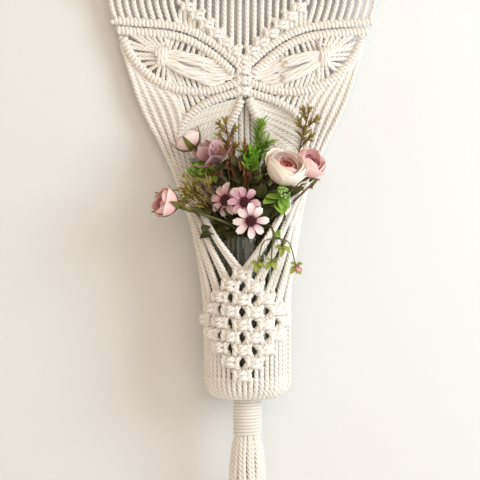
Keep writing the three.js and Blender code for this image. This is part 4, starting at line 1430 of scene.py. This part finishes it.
class Bunch(Piece):
    """Bent copies of blanks as one mesh, with its sheets thickened and rounded off."""

    def __init__(self, name: str, seed: int, thickness: float = LEAF_SHEET, levels: int = 0) -> None:
        """Start an empty bunch, with its sheets' thickness in millimetres and its levels of subdivision."""
        super().__init__(name, seed, Body.BOUQUET)
        self.thickness = thickness
        self.levels = levels

    def add(self, blank: Blank, spots: Line, tone: float | Line = 0.0) -> None:
        """Add one copy.

        Args:
            blank: gives the faces and the UV map.
            spots: the copy's bent points, in millimetres.
            tone: its tone, one number or one for each point.
        """
        self._spots.append(spots)
        self._faces += [[self._count + k for k in face] for face in blank.faces]
        self._uvs.append(blank.uvs)
        self._tones.append(np.broadcast_to(tone, len(spots)))
        self._count += len(spots)

    def blade(self, blank: Blank, form: "BladeForm", *shape: Spot | float, tone: float = 0.0) -> None:
        """Add one blade, with its base, reach, width and face as its form takes them."""
        self.add(blank, form.bent(blank, *shape), tone)

    def build(self, finish: Finish) -> bpy.types.Object:
        """Write the mesh, then thicken and round its sheets."""
        obj = super().build(finish)
        bpy.ops.object.select_all(action="DESELECT")
        obj.select_set(True)
        bpy.context.view_layer.objects.active = obj
        if self.thickness:
            solid = obj.modifiers.new("thickness", "SOLIDIFY")
            solid.thickness = self.thickness * MM
            solid.offset = 0.0
            bpy.ops.object.modifier_apply(modifier=solid.name)
        if self.levels:
            round_off = obj.modifiers.new("rounding", "SUBSURF")
            round_off.levels = self.levels
            round_off.render_levels = self.levels
            bpy.ops.object.modifier_apply(modifier=round_off.name)
        return obj


@dataclass(frozen=True)
class Perch:
    """A branch's end, with the way that what sits on it faces."""

    foot: Line
    axis: Line

    @classmethod
    def facing(cls, foot: Line, way: Spot) -> "Perch":
        """A perch that faces a way."""
        axis = np.asarray(way, float)
        return cls(np.asarray(foot, float), axis / np.linalg.norm(axis))

    @property
    def sides(self) -> tuple[Line, Line]:
        """Two directions square to the axis."""
        guide = np.array([0.0, 0.0, 1.0]) if abs(self.axis[2]) < 0.9 else np.array([1.0, 0.0, 0.0])
        first = np.cross(guide, self.axis)
        first /= np.linalg.norm(first)
        return first, np.cross(self.axis, first)

    def around(self, turn: float | Line, radius: float | Line, height: float | Line) -> Line:
        """Points round the axis."""
        first, second = self.sides
        turn, radius, height = np.broadcast_arrays(turn, radius, height)
        flat = np.cos(turn)[..., None] * first + np.sin(turn)[..., None] * second
        return self.foot + height[..., None] * self.axis + radius[..., None] * flat

    def away(self, turn: float, out: float, up: float) -> Line:
        """A way from the foot, turned round the axis, so far out from it and so far up it."""
        return self.around(turn, out, up) - self.foot

    def leaning(self, turn: float, lean: float) -> Line:
        """A unit way from the foot, turned round the axis and leaning from it."""
        return self.away(turn, math.sin(lean), math.cos(lean))


@dataclass(frozen=True)
class BladeForm:
    """A blade's outline and bend: where it is widest, how blunt its tip is, and how it folds and droops."""

    root: float = 0.6
    tip: float = 0.8
    fold: float = 0.25
    droop: float = 0.15

    def bent(self, blank: Blank, base: Spot, reach: Spot, width: float, up: Spot = (0.0, -0.6, 0.8)) -> Line:
        """A copy of a sheet as one blade.

        Args:
            blank: the sheet.
            base: where the blade starts.
            reach: from its base to its tip.
            width: at its widest.
            up: the way that its face looks.

        Returns:
            The bent points.
        """
        v, u = blank.length, blank.across
        start, away = np.asarray(base, float), np.asarray(reach, float)
        size = np.linalg.norm(away)
        side = np.cross(away, np.asarray(up, float))
        side /= max(np.linalg.norm(side), 1e-6)
        face = np.cross(side, away / size)
        peak = self.root / (self.root + self.tip)
        most = peak**self.root * (1 - peak) ** self.tip
        half = width / 2 * np.maximum(0.05, v**self.root * (1 - v) ** self.tip / most)
        rise = self.fold * np.abs(u) ** 1.5 * half - self.droop * size * v**2
        return start + v[:, None] * away + (u * half)[:, None] * side + rise[:, None] * face


LEAF_FORM = BladeForm(root=0.6, tip=0.75, fold=0.3, droop=0.2)
LANCE_FORM = BladeForm(root=0.5, tip=0.9, fold=0.35, droop=0.12)
NEEDLE_FORM = BladeForm(root=0.3, tip=0.5, fold=0.3, droop=0.1)
ROUND_FORM = BladeForm(root=0.6, tip=0.35, fold=-0.25, droop=-0.12)


@dataclass(frozen=True)
class PetalRing:
    """One ring of a rose: how many petals, on what ball, how far up it and how wide, with flare and lift."""

    count: int
    radius: float
    reach: float
    width: float
    flare: float
    lift: float
    tone: float


OPEN_RINGS = (
    PetalRing(4, 18.2, 112, 126, 0.08, 0.0, 0.0),
    PetalRing(4, 17.1, 124, 122, 0.04, 0.4, 0.0),
    PetalRing(3, 15.4, 132, 150, 0.02, 1.6, 0.06),
    PetalRing(3, 11.4, 138, 150, 0.0, 4.6, 0.4),
    PetalRing(3, 7.4, 142, 160, 0.0, 8.2, 0.85),
    PetalRing(2, 4.0, 150, 200, 0.0, 11.6, 1.0),
)
BUD_RINGS = (
    PetalRing(3, 12.2, 112, 150, 0.12, 0.0, 0.0),
    PetalRing(4, 11.0, 128, 112, 0.02, 0.8, 0.1),
    PetalRing(3, 8.2, 138, 140, 0.0, 2.6, 0.4),
    PetalRing(3, 5.0, 144, 150, 0.0, 5.4, 0.85),
)


@dataclass
class Rose:
    """A silk rose with its sepals."""

    name: str
    perch: Perch
    finish: Petal
    rings: tuple[PetalRing, ...]
    sepal: float
    stretch: float
    seat: float = 3.2
    root_angle: float = 0.2
    corner_curl: float = 0.42
    lip_start: float = 0.68
    lip_length: float = 0.32
    sepals: int = 5

    def build(self, sheet: Blank, seed: int) -> None:
        """Fold the petals and the sepals."""
        bunch = Bunch(f"silk_{self.name}", seed, ROSE_SHEET, 1)
        for level, ring in enumerate(self.rings):
            for i in range(ring.count):
                turn = TAU * (i + 0.37 * level) / ring.count + bunch.draw.uniform(-0.08, 0.08)
                bunch.add(sheet, self._petal(sheet, ring, turn, bunch.draw), ring.tone)
        bunch.settle(self.finish, self.name)
        self._calyx(sheet, seed)

    def _petal(self, sheet: Blank, ring: PetalRing, turn: float, draw: random.Random) -> Line:
        """One petal, bent onto its ring's ball."""
        u, v = sheet.across, sheet.length
        reach = math.radians(ring.reach + draw.uniform(-4, 4))
        theta = self.root_angle + (reach - self.root_angle) * v
        theta = theta - self.corner_curl * np.abs(u) ** 2.6 * v**2
        wave = draw.uniform(0, TAU)
        half = math.radians(ring.width) / 2 * (1 - 0.12 * v**4)
        azimuth = turn + u * half
        lip = np.clip((v - self.lip_start) / self.lip_length, 0, 1) ** 2
        radius = ring.radius * (1 + 0.05 * np.sin(3 * u + wave) * v**2 + 0.045 * u)
        out = radius * np.sin(theta) * (1 + ring.flare * lip)
        high = radius * self.stretch * (1 - np.cos(theta)) - ring.flare * ring.radius * 0.5 * lip
        return self.perch.around(azimuth, out, self.seat + ring.lift + high)

    def _calyx(self, sheet: Blank, seed: int) -> None:
        """Pointed sepals that clasp the petals, on a small cup."""
        bunch = Bunch(f"silk_{self.name}_sepals", seed + 1, SILK_SHEET, 1)
        u, v = sheet.across, sheet.length
        ball = self.rings[0].radius + 0.8
        for i in range(self.sepals):
            turn = TAU * i / self.sepals + bunch.draw.uniform(-0.15, 0.15)
            reach = self.sepal / ball * bunch.draw.uniform(0.85, 1.1)
            theta = 0.12 + reach * v
            half = 0.62 * (1 - v) ** 0.65 / np.maximum(0.3, np.sin(theta)) * 0.55
            tip = bunch.draw.uniform(0.1, 0.3) * np.clip((v - 0.6) / 0.4, 0, 1) ** 2
            out = ball * np.sin(theta) * (1 + tip)
            high = ball * self.stretch * (1 - np.cos(theta)) - 0.6 - 0.8 * np.abs(u) * (1 - v)
            bunch.add(sheet, self.perch.around(turn + u * half, out, self.seat + high))
        knob = Blank(bpy.ops.mesh.primitive_uv_sphere_add, segments=16, ring_count=8, radius=1.0)
        x, y, z = knob.spots.T
        bunch.add(knob, self.perch.around(np.arctan2(y, x), 3.4 * np.hypot(x, y), 2.4 + 2.4 * z))
        bunch.settle(SEPAL, f"{self.name}_calyx")


@dataclass
class Daisy:
    """A daisy with a dark eye."""

    name: str
    perch: Perch
    tone: float
    diameter: float = 31.0
    petals: int = 8
    eye: float = 10.0
    dome: float = 2.6
    florets: int = 46
    seat: float = 1.2

    def build(self, sheet: Blank, seed: int) -> None:
        """Lay the petals and set the eye."""
        bunch = Bunch(f"silk_{self.name}", seed, SILK_SHEET, 1)
        u, v = sheet.across, sheet.length
        for i in range(self.petals):
            turn = TAU * i / self.petals + bunch.draw.uniform(-0.1, 0.1)
            size = self.diameter / 2 * bunch.draw.uniform(0.94, 1.06)
            radius = 2.5 + (size - 2.5) * v - 1.6 * np.abs(u) ** 2 * v**4 - 0.8 * (np.cos(6 * u) - 0.4) * v**6
            half = 4.2 * np.maximum(0.12, (v**0.7 * (1.05 - v) ** 0.28) / 0.7)
            rise, fall = bunch.draw.uniform(0.8, 3.6), bunch.draw.uniform(0.4, 2.4)
            lift = rise * np.sin(v * 2.3) - fall * v**2 + 0.25 * (i % 2)
            cup = 0.2 * half * (np.abs(u) ** 2) * 2 + 0.4 * np.cos(5 * u) * v
            azimuth = turn + np.arctan2(u * half, radius)
            spots = self.perch.around(azimuth, np.hypot(radius, u * half), self.seat + lift + cup)
            bunch.add(sheet, spots, self.tone * (1 - 0.4 * v))
        bunch.settle(DAISY, self.name)
        self._eye(seed)

    def _eye(self, seed: int) -> None:
        """A dome of close florets, in the spiral that such heads grow in."""
        bunch = Bunch(f"silk_{self.name}_florets", seed + 1, thickness=0.0)
        bead = Blank(bpy.ops.mesh.primitive_ico_sphere_add, subdivisions=2, radius=1.0)
        first, second = self.perch.sides
        turns = np.stack([first, second, self.perch.axis])
        dome = bead.spots * (self.eye / 2 - 0.6, self.eye / 2 - 0.6, self.dome)
        bunch.add(bead, self.perch.foot + dome @ turns + self.dome * self.perch.axis)
        for i in range(self.florets):
            share = (i + 0.5) / self.florets
            radius = self.eye / 2 * math.sqrt(share)
            height = self.dome + 2.9 * math.sqrt(max(0.0, 1 - share * 0.9))
            middle = self.perch.around(GOLDEN_ANGLE * i, radius, height)
            bunch.add(bead, middle + bead.spots @ turns * bunch.draw.uniform(0.6, 0.85), 0.3 + 0.7 * share)
        bunch.settle(EYE, f"{self.name}_eye")


@dataclass(frozen=True)
class Thicket:
    """A patch of small leaves on fine stalks, between two corners that are measured from the jar's mouth."""

    name: str
    low: Spot
    high: Spot
    count: int
    length: float
    width: float
    form: BladeForm
    finish: Finish


# Single leaves: base from the jar's mouth, reach and width.
DARK_LEAVES: tuple[tuple[Spot, Spot, float], ...] = (
    ((14, -20, 28), (13, -16, -44), 19), ((4, -20, 8), (12, -18, -14), 17),
    ((-14, -22, 10), (-31, -14, -6), 18), ((-6, -24, 8), (-16, -14, -6), 18),
    ((-4, 4, 44), (-6, -10, 20), 14), ((-5, -22, 13), (-25, -15, -7), 19),
    ((8, -18, 18), (12, -20, -10), 18), ((12, -6, 22), (10, -22, -4), 18),
    ((-10, -14, 14), (-16, -10, -16), 18), ((0, -10, 16), (-4, -14, 24), 17),
    ((8, -8, 24), (4, -10, 22), 16), ((-10, -6, 24), (-12, -10, 18), 15), ((4, -12, 16), (-14, -24, -2), 17),
    ((-2, -14, 24), (16, -14, 6), 15), ((6, -20, 10), (20, -14, -14), 15),
    ((-4, -6, 30), (-18, -12, 10), 14), ((8, -4, 34), (8, -12, 12), 13), ((-14, -10, 20), (-22, 2, 8), 14),
    ((6, -2, 36), (16, -8, 8), 13), ((-4, -16, 8), (-20, -14, -6), 18), ((9, -20, 6), (12, -16, -26), 17),
)
LIME_LEAVES: tuple[tuple[Spot, Spot, float], ...] = (
    ((-34, 5, 58), (-14, -8, 5), 10), ((-33, 5, 56), (-15, -9, -5), 10), ((-32, 4, 55), (-2, -14, 9), 9),
    ((-35, 5, 60), (-8, -6, 13), 9), ((-33, 4, 57), (4, -12, -8), 9), ((-34, 5, 58), (-9, -13, -1), 9),
    ((26, -22, 30), (2, -14, -8), 13), ((24, -20, 32), (-12, -14, 0), 11), ((16, -30, 8), (8, -18, -6), 9),
)

THICKETS: tuple[Thicket, ...] = (
    Thicket("dusky_leaves", (-30, -12, 36), (20, 10, 62), 34, 15.0, 8.0, LEAF_FORM, DARK_LEAF),
    Thicket("shade_leaves", (4, -30, -4), (32, -6, 42), 26, 17.0, 11.0, LEAF_FORM, DARK_LEAF),
    Thicket("rim_leaves", (-40, -34, 2), (-8, -10, 24), 24, 16.0, 10.0, LEAF_FORM, DARK_LEAF),
    Thicket("russet_sprays", (-34, -15, 50), (0, 8, 82), 46, 10.0, 2.6, LANCE_FORM, RUSSET_LEAF),
    Thicket("parsley_leaves", (-54, -6, 50), (-38, 6, 62), 26, 8.0, 4.2, LEAF_FORM, LIME_LEAF),
    Thicket("feather_sprays", (-62, -24, 22), (-34, -6, 48), 60, 11.0, 2.6, LANCE_FORM, OLIVE_LEAF),
    Thicket("bright_tufts", (-5, -14, 56), (7, -4, 74), 40, 9.0, 2.4, NEEDLE_FORM, BRIGHT_LEAF),
    Thicket("grass_sprays", (4, -8, 44), (28, 8, 66), 24, 11.0, 3.6, LANCE_FORM, NEEDLE),
    Thicket("right_sprays", (38, -4, 40), (66, 8, 52), 16, 9.0, 3.4, LANCE_FORM, OLIVE_LEAF),
)


@dataclass
class Bouquet:
    """The silk stems in the jar, with their heads, leaves and sprigs."""

    layout: Layout
    waist: float = 0.85
    waist_drop: float = 14.0
    low_z: float = -70.0
    foot_spread: float = 2.2
    foot_z: float = -127.6
    fork: Spot = (0, 8, -6)
    needles_per_mm: float = 1.5
    droops: Spots = ((18, 0, -24), (6, -2, -7), (-4, -2, -20), (-16, 0, -21))
    branches: dict[str, tuple[Spot, Spot]] = field(default_factory=lambda: {
        "rose_open": ((14, -8, 24), (27, -8, 47.7)),
        "rose_right": ((22, 6, 28), (48, 4, 55)),
        "rose_left": ((-18, -38, 10), (-64, -28, 26)),
        "rose_upper": ((-22, 4, 40), (-46, 8, 75)),
        "daisy_left": ((-9, -14, 16), (-20.6, -27, 31.4)),
        "daisy_mid": ((-4, -18, 18), (-6.8, -35, 29)),
        "daisy_low": ((0, -24, 10), (-2, -48, 14.3)),
        "sprig_bright": ((5, 4, 40), (8, 8, 61)),
        "twig_middle": ((-12, 6, 42), (-14, 8, 60)),
        "twig_right": ((41, 12, 45), (48, 12, 73)),
        "bloom_mauve": ((-16, 0, 38), (-28, 0, 62)),
        "leaves_olive": ((-16, -8, 20), (-42, -10, 34)),
        "florets_green": ((12, -16, 18), (26.5, -26, 34)),
        "sprig_low": ((16, -42, 10), (20, -50, -1)),
    })

    def build(self) -> None:
        """Build the stems, then what they carry."""
        self.sheet = Blank(bpy.ops.mesh.primitive_grid_add, x_subdivisions=8, y_subdivisions=8, size=1.0)
        self.small = Blank(bpy.ops.mesh.primitive_grid_add, x_subdivisions=4, y_subdivisions=5, size=1.0)
        self._stems()
        self._dark_leaves()
        self._roses()
        self._daisies()
        self._needles()
        self._twig("twig_middle", 42.0, 74)
        self._twig("twig_right", 40.0, 76)
        self._mauve()
        for seed, thicket in enumerate(THICKETS):
            self._thicket(thicket, 200 + seed)
        self._olive()
        self._florets()
        self._low_sprig()

    def _point(self, spot: Spot) -> Line:
        """A point from the middle of the jar's mouth, in the frame."""
        return np.array([spot[0], spot[1] + self.layout.jar_y, spot[2] + self.layout.mouth_z], float)

    def _perch(self, name: str, way: Spot | None = None) -> Perch:
        """The perch at a branch's end, facing along the branch unless a way is given."""
        middle, end = (np.asarray(spot, float) for spot in self.branches[name])
        return Perch.facing(self._point(end), end - middle if way is None else way)

    def _stems(self) -> None:
        """A stem for each branch, bunched inside the jar."""
        mesh = CordMesh("bunched_stems", 61, Body.BOUQUET)
        for i, (middle, end) in enumerate(self.branches.values()):
            turn = GOLDEN_ANGLE * i
            wide = self.waist * math.sqrt(i)
            spread = wide * self.foot_spread
            foot = (spread * math.cos(turn), spread * math.sin(turn), self.foot_z)
            waist = (wide * math.cos(turn), wide * math.sin(turn), -self.waist_drop)
            low = ((foot[0] + waist[0]) / 2, (foot[1] + waist[1]) / 2, self.low_z)
            mesh.straight([self._point(spot) for spot in (foot, low, waist, middle, end)], STEM_STALK)
        mesh.settle(STEM, "bouquet_stems")

    def _dark_leaves(self) -> None:
        """Broad dark leaves among the stems and over the jar's rim, and lime ones."""
        for name, seed, leaves, thickness, finish in (
            ("dark_leaves", 62, DARK_LEAVES, BROAD_SHEET, DARK_LEAF),
            ("lime_leaves", 63, LIME_LEAVES, LEAF_SHEET, LIME_LEAF),
        ):
            bunch = Bunch(name, seed, thickness, 1)
            for base, reach, width in leaves:
                bunch.blade(self.sheet, LEAF_FORM, self._point(base), reach, width)
            bunch.settle(finish)

    def _roses(self) -> None:
        """The open rose and the three buds."""
        wide_rings = tuple(replace(ring, radius=1.18 * ring.radius) for ring in BUD_RINGS)
        for seed, name, way, finish, rings, sepal, stretch in (
            (64, "rose_open", (0.3, -0.64, 0.7), PEACH, OPEN_RINGS, 15.0, 0.92),
            (66, "rose_right", (0.55, -0.5, 0.6), PINK, wide_rings, 15.0, 0.92),
            (68, "rose_left", (-0.88, -0.36, 0.3), PINK, BUD_RINGS, 23.0, 1.0),
            (70, "rose_upper", None, BLUSH, BUD_RINGS, 24.0, 0.85),
        ):
            Rose(name, self._perch(name, way), finish, rings, sepal, stretch).build(self.sheet, seed)

    def _daisies(self) -> None:
        """The three daisies at the front."""
        for seed, name, way, tone in (
            (80, "daisy_left", (-0.6, -0.74, 0.25), 0.5),
            (82, "daisy_mid", (0.15, -0.85, 0.45), 0.8),
            (84, "daisy_low", (0.05, -1.0, 0.0), 0.0),
        ):
            Daisy(name, self._perch(name, way), tone).build(self.sheet, seed)

    def _needles(self) -> None:
        """A bright sprig of needles, with shorter side shoots."""
        bunch = Bunch("needle_sprig", 72)
        perch = self._perch("sprig_bright")
        twig = CordMesh("needle_twig", 73, Body.BOUQUET)
        shoots = (
            (perch.foot, perch.axis * 40.0),
            (perch.foot + perch.axis * 2, np.array([-9.0, -12.0, 12.0])),
            (perch.foot + perch.axis * 8, np.array([9.0, -8.0, 14.0])),
        )
        for foot, reach in shoots:
            twig.cord(spaced(np.array([foot - reach * 0.05, foot + reach]), NEEDLE_STALK.step), NEEDLE_STALK)
            shoot = Perch.facing(foot, reach)
            size = float(np.linalg.norm(reach))
            needles = size * self.needles_per_mm
            for i in range(int(needles)):
                base = shoot.foot + (1 + (size - 1) * i / needles) * shoot.axis
                way = shoot.leaning(GOLDEN_ANGLE * i, bunch.draw.uniform(0.5, 0.8))
                bunch.blade(self.small, NEEDLE_FORM, base, way * bunch.draw.uniform(9, 13), 2.3, shoot.axis)
        bunch.settle(NEEDLE, "sprig_bright")
        twig.settle(STEM)

    def _twig(self, name: str, length: float, seed: int) -> None:
        """A bare brown twig with side shoots, small leaves and split buds."""
        perch = self._perch(name)
        bunch = Bunch(f"bronze_{name}", seed)
        wood = CordMesh(f"bark_{name}", seed + 1, Body.BOUQUET)
        draw = bunch.draw
        tips = [(perch.foot, perch.foot + length * 0.98 * perch.axis)]
        for i in range(5):
            base = perch.foot + length * (0.12 + 0.16 * i) * perch.axis
            tips.append((base, base + perch.away(2.4 * i + 0.6, 0.62, 0.78) * (length * 0.36 - i * 1.2)))
        for base, tip in tips:
            bend = (base + tip) / 2 + np.array([draw.uniform(-1, 1) for _ in range(3)])
            wood.cord(through([base, bend, tip], TWIG_STALK.step), TWIG_STALK, 0.9)
            way = (tip - base) / np.linalg.norm(tip - base)
            top = Perch.facing(tip, way)
            for k in range(5):
                reach = top.away(TAU * k / 5, 0.32, 0.95) * draw.uniform(7, 10)
                bunch.blade(self.small, LANCE_FORM, tip - 2 * way, reach, 2.8, way)
            for k in range(3):
                reach = top.away(2.2 * k + draw.uniform(0, 1), 0.75, 0.66) * draw.uniform(7, 11)
                start = base + (tip - base) * (0.3 + 0.22 * k)
                bunch.blade(self.small, LANCE_FORM, start, reach, 3.6, way)
        bunch.settle(OLIVE_LEAF, name)
        wood.settle(TWIG)

    def _mauve(self) -> None:
        """A loose mauve bloom behind the twigs."""
        perch = self._perch("bloom_mauve")
        bunch = Bunch("mauve_bloom", 78, BROAD_SHEET, 1)
        for ring, (lean, size, width) in enumerate(((0.3, 18, 13), (0.8, 24, 17), (1.3, 25, 18))):
            for i in range(5):
                way = perch.leaning(TAU * (i + 0.5 * ring) / 5 + bunch.draw.uniform(-0.2, 0.2), lean)
                base = perch.foot + (12 - 4.5 * ring) * perch.axis * 0.7
                reach = way * size * bunch.draw.uniform(0.85, 1.0)
                bunch.blade(self.sheet, ROUND_FORM, base, reach, width, perch.axis, tone=0.2 * ring)
        bunch.settle(MAUVE, "bloom_mauve")

    def _thicket(self, thicket: Thicket, seed: int) -> None:
        """One patch of small leaves, leaning away from where the stems fork."""
        bunch = Bunch(thicket.name, seed)
        stalks = CordMesh(f"{thicket.name}_stalks", seed + 50, Body.BOUQUET)
        draw = bunch.draw
        fork = self._point(self.fork)
        for i in range(thicket.count):
            base = self._point(tuple(draw.uniform(low, high) for low, high in zip(thicket.low, thicket.high)))
            way = (base - fork) / np.linalg.norm(base - fork)
            way = way + np.array([draw.gauss(0, 0.45), draw.gauss(-0.15, 0.4), draw.gauss(0, 0.45)])
            reach = way / np.linalg.norm(way) * thicket.length * draw.uniform(0.7, 1.15)
            width = thicket.width * draw.uniform(0.8, 1.2)
            bunch.blade(self.small, thicket.form, base, reach, width)
            if i % 3 == 0:
                bend = fork + (base - fork) * 0.6 + np.array([draw.uniform(-3, 3), draw.uniform(-3, 3), 0.0])
                stalks.cord(through([fork, bend, base + reach * 0.2], STALK.step), STALK)
        bunch.settle(thicket.finish)
        stalks.settle(TWIG)

    def _olive(self) -> None:
        """Feathery olive leaves on the left."""
        perch = self._perch("leaves_olive")
        bunch = Bunch("feather_leaves", 79)
        count = 26
        for i in range(count):
            way = perch.leaning(GOLDEN_ANGLE * i, 0.45 + 0.8 * (i % 5) / 4)
            base = perch.foot + (1 + 10 * i / count) * perch.axis
            reach = way * bunch.draw.uniform(11, 16)
            bunch.blade(self.small, LANCE_FORM, base, reach, bunch.draw.uniform(2.4, 4.6), perch.axis)
        bunch.settle(OLIVE_LEAF, "leaves_olive")

    def _florets(self) -> None:
        """A head of pale green florets between a few leaves."""
        perch = self._perch("florets_green")
        bunch = Bunch("lime_floret_leaves", 86, LEAF_SHEET, 1)
        leaves = (((-13, -4, 2), 11), ((4, -6, -13), 10), ((9, -3, -9), 8), ((2, 3, 12), 9), ((11, 2, 3), 8))
        for reach, width in leaves:
            bunch.blade(self.sheet, LEAF_FORM, perch.foot + perch.axis, reach, width)
        bunch.settle(LIME_LEAF, "florets_green")
        self._stamens(Perch.facing(perch.foot + 2 * perch.axis, perch.axis))

    def _stamens(self, perch: Perch) -> None:
        """A tuft of fine threads with a bead on each."""
        bunch = Bunch("lime_florets", 87, SILK_SHEET)
        bead = Blank(bpy.ops.mesh.primitive_ico_sphere_add, subdivisions=1, radius=1.0)
        count = 26
        for i in range(count):
            way = perch.leaning(GOLDEN_ANGLE * i, 1.15 * math.sqrt((i + 0.5) / count))
            reach = way * 9.0 * bunch.draw.uniform(0.75, 1.0)
            bunch.blade(self.small, NEEDLE_FORM, perch.foot, reach, 1.0, perch.axis)
            bunch.add(bead, perch.foot + reach + bead.spots * 0.95)
        bunch.settle(STAMEN)

    def _low_sprig(self) -> None:
        """A drooping sprig of small yellow-green flowers and one pink bud."""
        tip = self._perch("sprig_low").foot
        bunch = Bunch("drooping_leaves", 88, LEAF_SHEET, 1)
        thread = CordMesh("drooping_threads", 89, Body.BOUQUET)
        for dx, dy, dz in self.droops:
            end = tip + np.array([dx, dy, dz], float)
            bend = tip + np.array([dx * 0.6, dy, dz * 0.2 + 2])
            thread.cord(through([tip, bend, end], THREAD_STALK.step), THREAD_STALK)
            for k in range(4):
                turn = TAU * k / 4 + dx
                way = np.array([7 * math.cos(turn), -3.5, 7 * math.sin(turn) - 2])
                bunch.blade(self.small, LEAF_FORM, end, way, 5.6)
        bunch.settle(FLORET, "sprig_low")
        thread.settle(STEM)
        bud = Bunch("drooping_bud", 90, LEAF_SHEET, 1)
        perch = Perch.facing(tip + np.array(self.droops[0], float), (0.5, -0.3, -0.8))
        for i in range(5):
            way = perch.away(TAU * i / 5, 0.5, 0.86)
            bud.blade(self.small, ROUND_FORM, perch.foot, way * 8.0, 5.0, perch.axis, tone=0.2)
        bud.settle(PINK)


# Studio


@dataclass(frozen=True)
class Lamp:
    """A soft round lamp, with its place and size in metres and its power in watts."""

    name: str
    spot: Spot
    size: float
    power: float
    colour: Spot


@dataclass
class Studio:
    """The wall and floor behind the object, the lights and the camera."""

    wall_y: float = 15.0
    wall_top: float = 3000.0
    floor_z: float = -560.0
    reach: float = 4000.0
    sensor: float = 36.0
    view_width: float = 441.6
    view_middle: tuple[float, float] = (-2.8, -239.0)
    distance: float = 2000.0
    lift: float = math.radians(3.0)
    turn: float = math.radians(5.5)
    lamps: tuple[Lamp, ...] = (
        Lamp("window_lamp", (1.45, -1.3, 0.35), 1.3, 27.0, (0.76, 0.91, 1.0)),
        Lamp("fill_lamp", (0.1, -2.4, 0.35), 1.6, 13.0, (1.0, 0.89, 0.76)),
    )
    aim: Spot = (0.0, -0.03, -0.25)
    air: Colour = (1.0, 0.77, 0.52, 1.0)
    air_strength: float = 0.52
    seen_air: Colour = (0.9, 0.885, 0.86, 1.0)
    seen_strength: float = 0.9

    def build(self) -> None:
        """Set up the camera, the lights and the stage."""
        self._camera()
        self._lights()
        self._stage()
        bpy.context.scene.view_settings.view_transform = "Standard"

    def _camera(self) -> None:
        """A long lens, a few degrees left of the panel's middle and a little above it."""
        lens = bpy.data.cameras.new("front_camera")
        lens.sensor_width = self.sensor
        lens.lens = self.sensor * self.distance / self.view_width
        lens.clip_start = 0.1
        lens.clip_end = 30.0
        camera = placed("front_camera", lens)
        x, z = self.view_middle
        level = math.cos(self.lift)
        back = Vector((-math.sin(self.turn) * level, -math.cos(self.turn) * level, math.sin(self.lift)))
        camera.location = (Vector((x, 0.0, z)) + back * self.distance) * MM
        camera.rotation_euler = (math.pi / 2 - self.lift, 0.0, -self.turn)
        bpy.context.scene.camera = camera

    def _lamp(self, lamp: Lamp) -> None:
        """Hang one lamp, aimed at the panel."""
        light = bpy.data.lights.new(lamp.name, "AREA")
        light.shape = "DISK"
        light.size = lamp.size
        light.energy = lamp.power
        light.color = lamp.colour
        obj = placed(lamp.name, light)
        obj.location = lamp.spot
        obj.rotation_euler = (Vector(self.aim) - Vector(lamp.spot)).to_track_quat("-Z", "Y").to_euler()

    def _lights(self) -> None:
        """A cool lamp on the right, a warm one in front, and warm air that looks paler than it lights."""
        for lamp in self.lamps:
            self._lamp(lamp)
        world = bpy.data.worlds.new("studio_air")
        world.use_nodes = True
        ground = world.node_tree.nodes["Background"]
        air = Wiring(world.node_tree)
        air.fill(ground, Color=self.air, Strength=self.air_strength)
        rays = air.node("LightPath").outputs
        mirrored = air.sum("MAXIMUM", rays["Is Glossy Ray"], rays["Is Transmission Ray"])
        pale = air.node("Background", Color=self.seen_air, Strength=self.seen_strength)
        air.split(air.sum("MAXIMUM", rays["Is Camera Ray"], mirrored), ground, pale)
        bpy.context.scene.world = world

    def _plane(self, name: str, corners: Sequence[Spot]) -> None:
        """One flat, painted face of the stage."""
        mesh = bpy.data.meshes.new(name)
        mesh.from_pydata([tuple(v * MM for v in corner) for corner in corners], [], [(0, 1, 2, 3)])
        mesh.materials.append(PAINT.material())
        obj = placed(name, mesh)

    def _stage(self) -> None:
        """A wall close behind the panel, and a floor below it."""
        y, z, top, reach = self.wall_y, self.floor_z, self.wall_top, self.reach
        self._plane("studio_wall", ((-reach, y, z), (reach, y, z), (reach, y, top), (-reach, y, top)))
        self._plane("studio_floor", ((-reach, -reach, z), (reach, -reach, z), (reach, y, z), (-reach, y, z)))


def main() -> None:
    """Build the studio, then the planter from the dowel down."""
    logging.basicConfig(level=logging.INFO, format="%(name)s: %(message)s")
    Studio().build()
    layout = Layout()
    Dowel().build()
    Curtain(layout).build()
    for side in Side:
        Wing(layout, side).build()
    Pocket(layout).build()
    Tassel(layout).build()
    Jar(layout).build()
    Bouquet(layout).build()


if __name__ == "__main__":
    main()
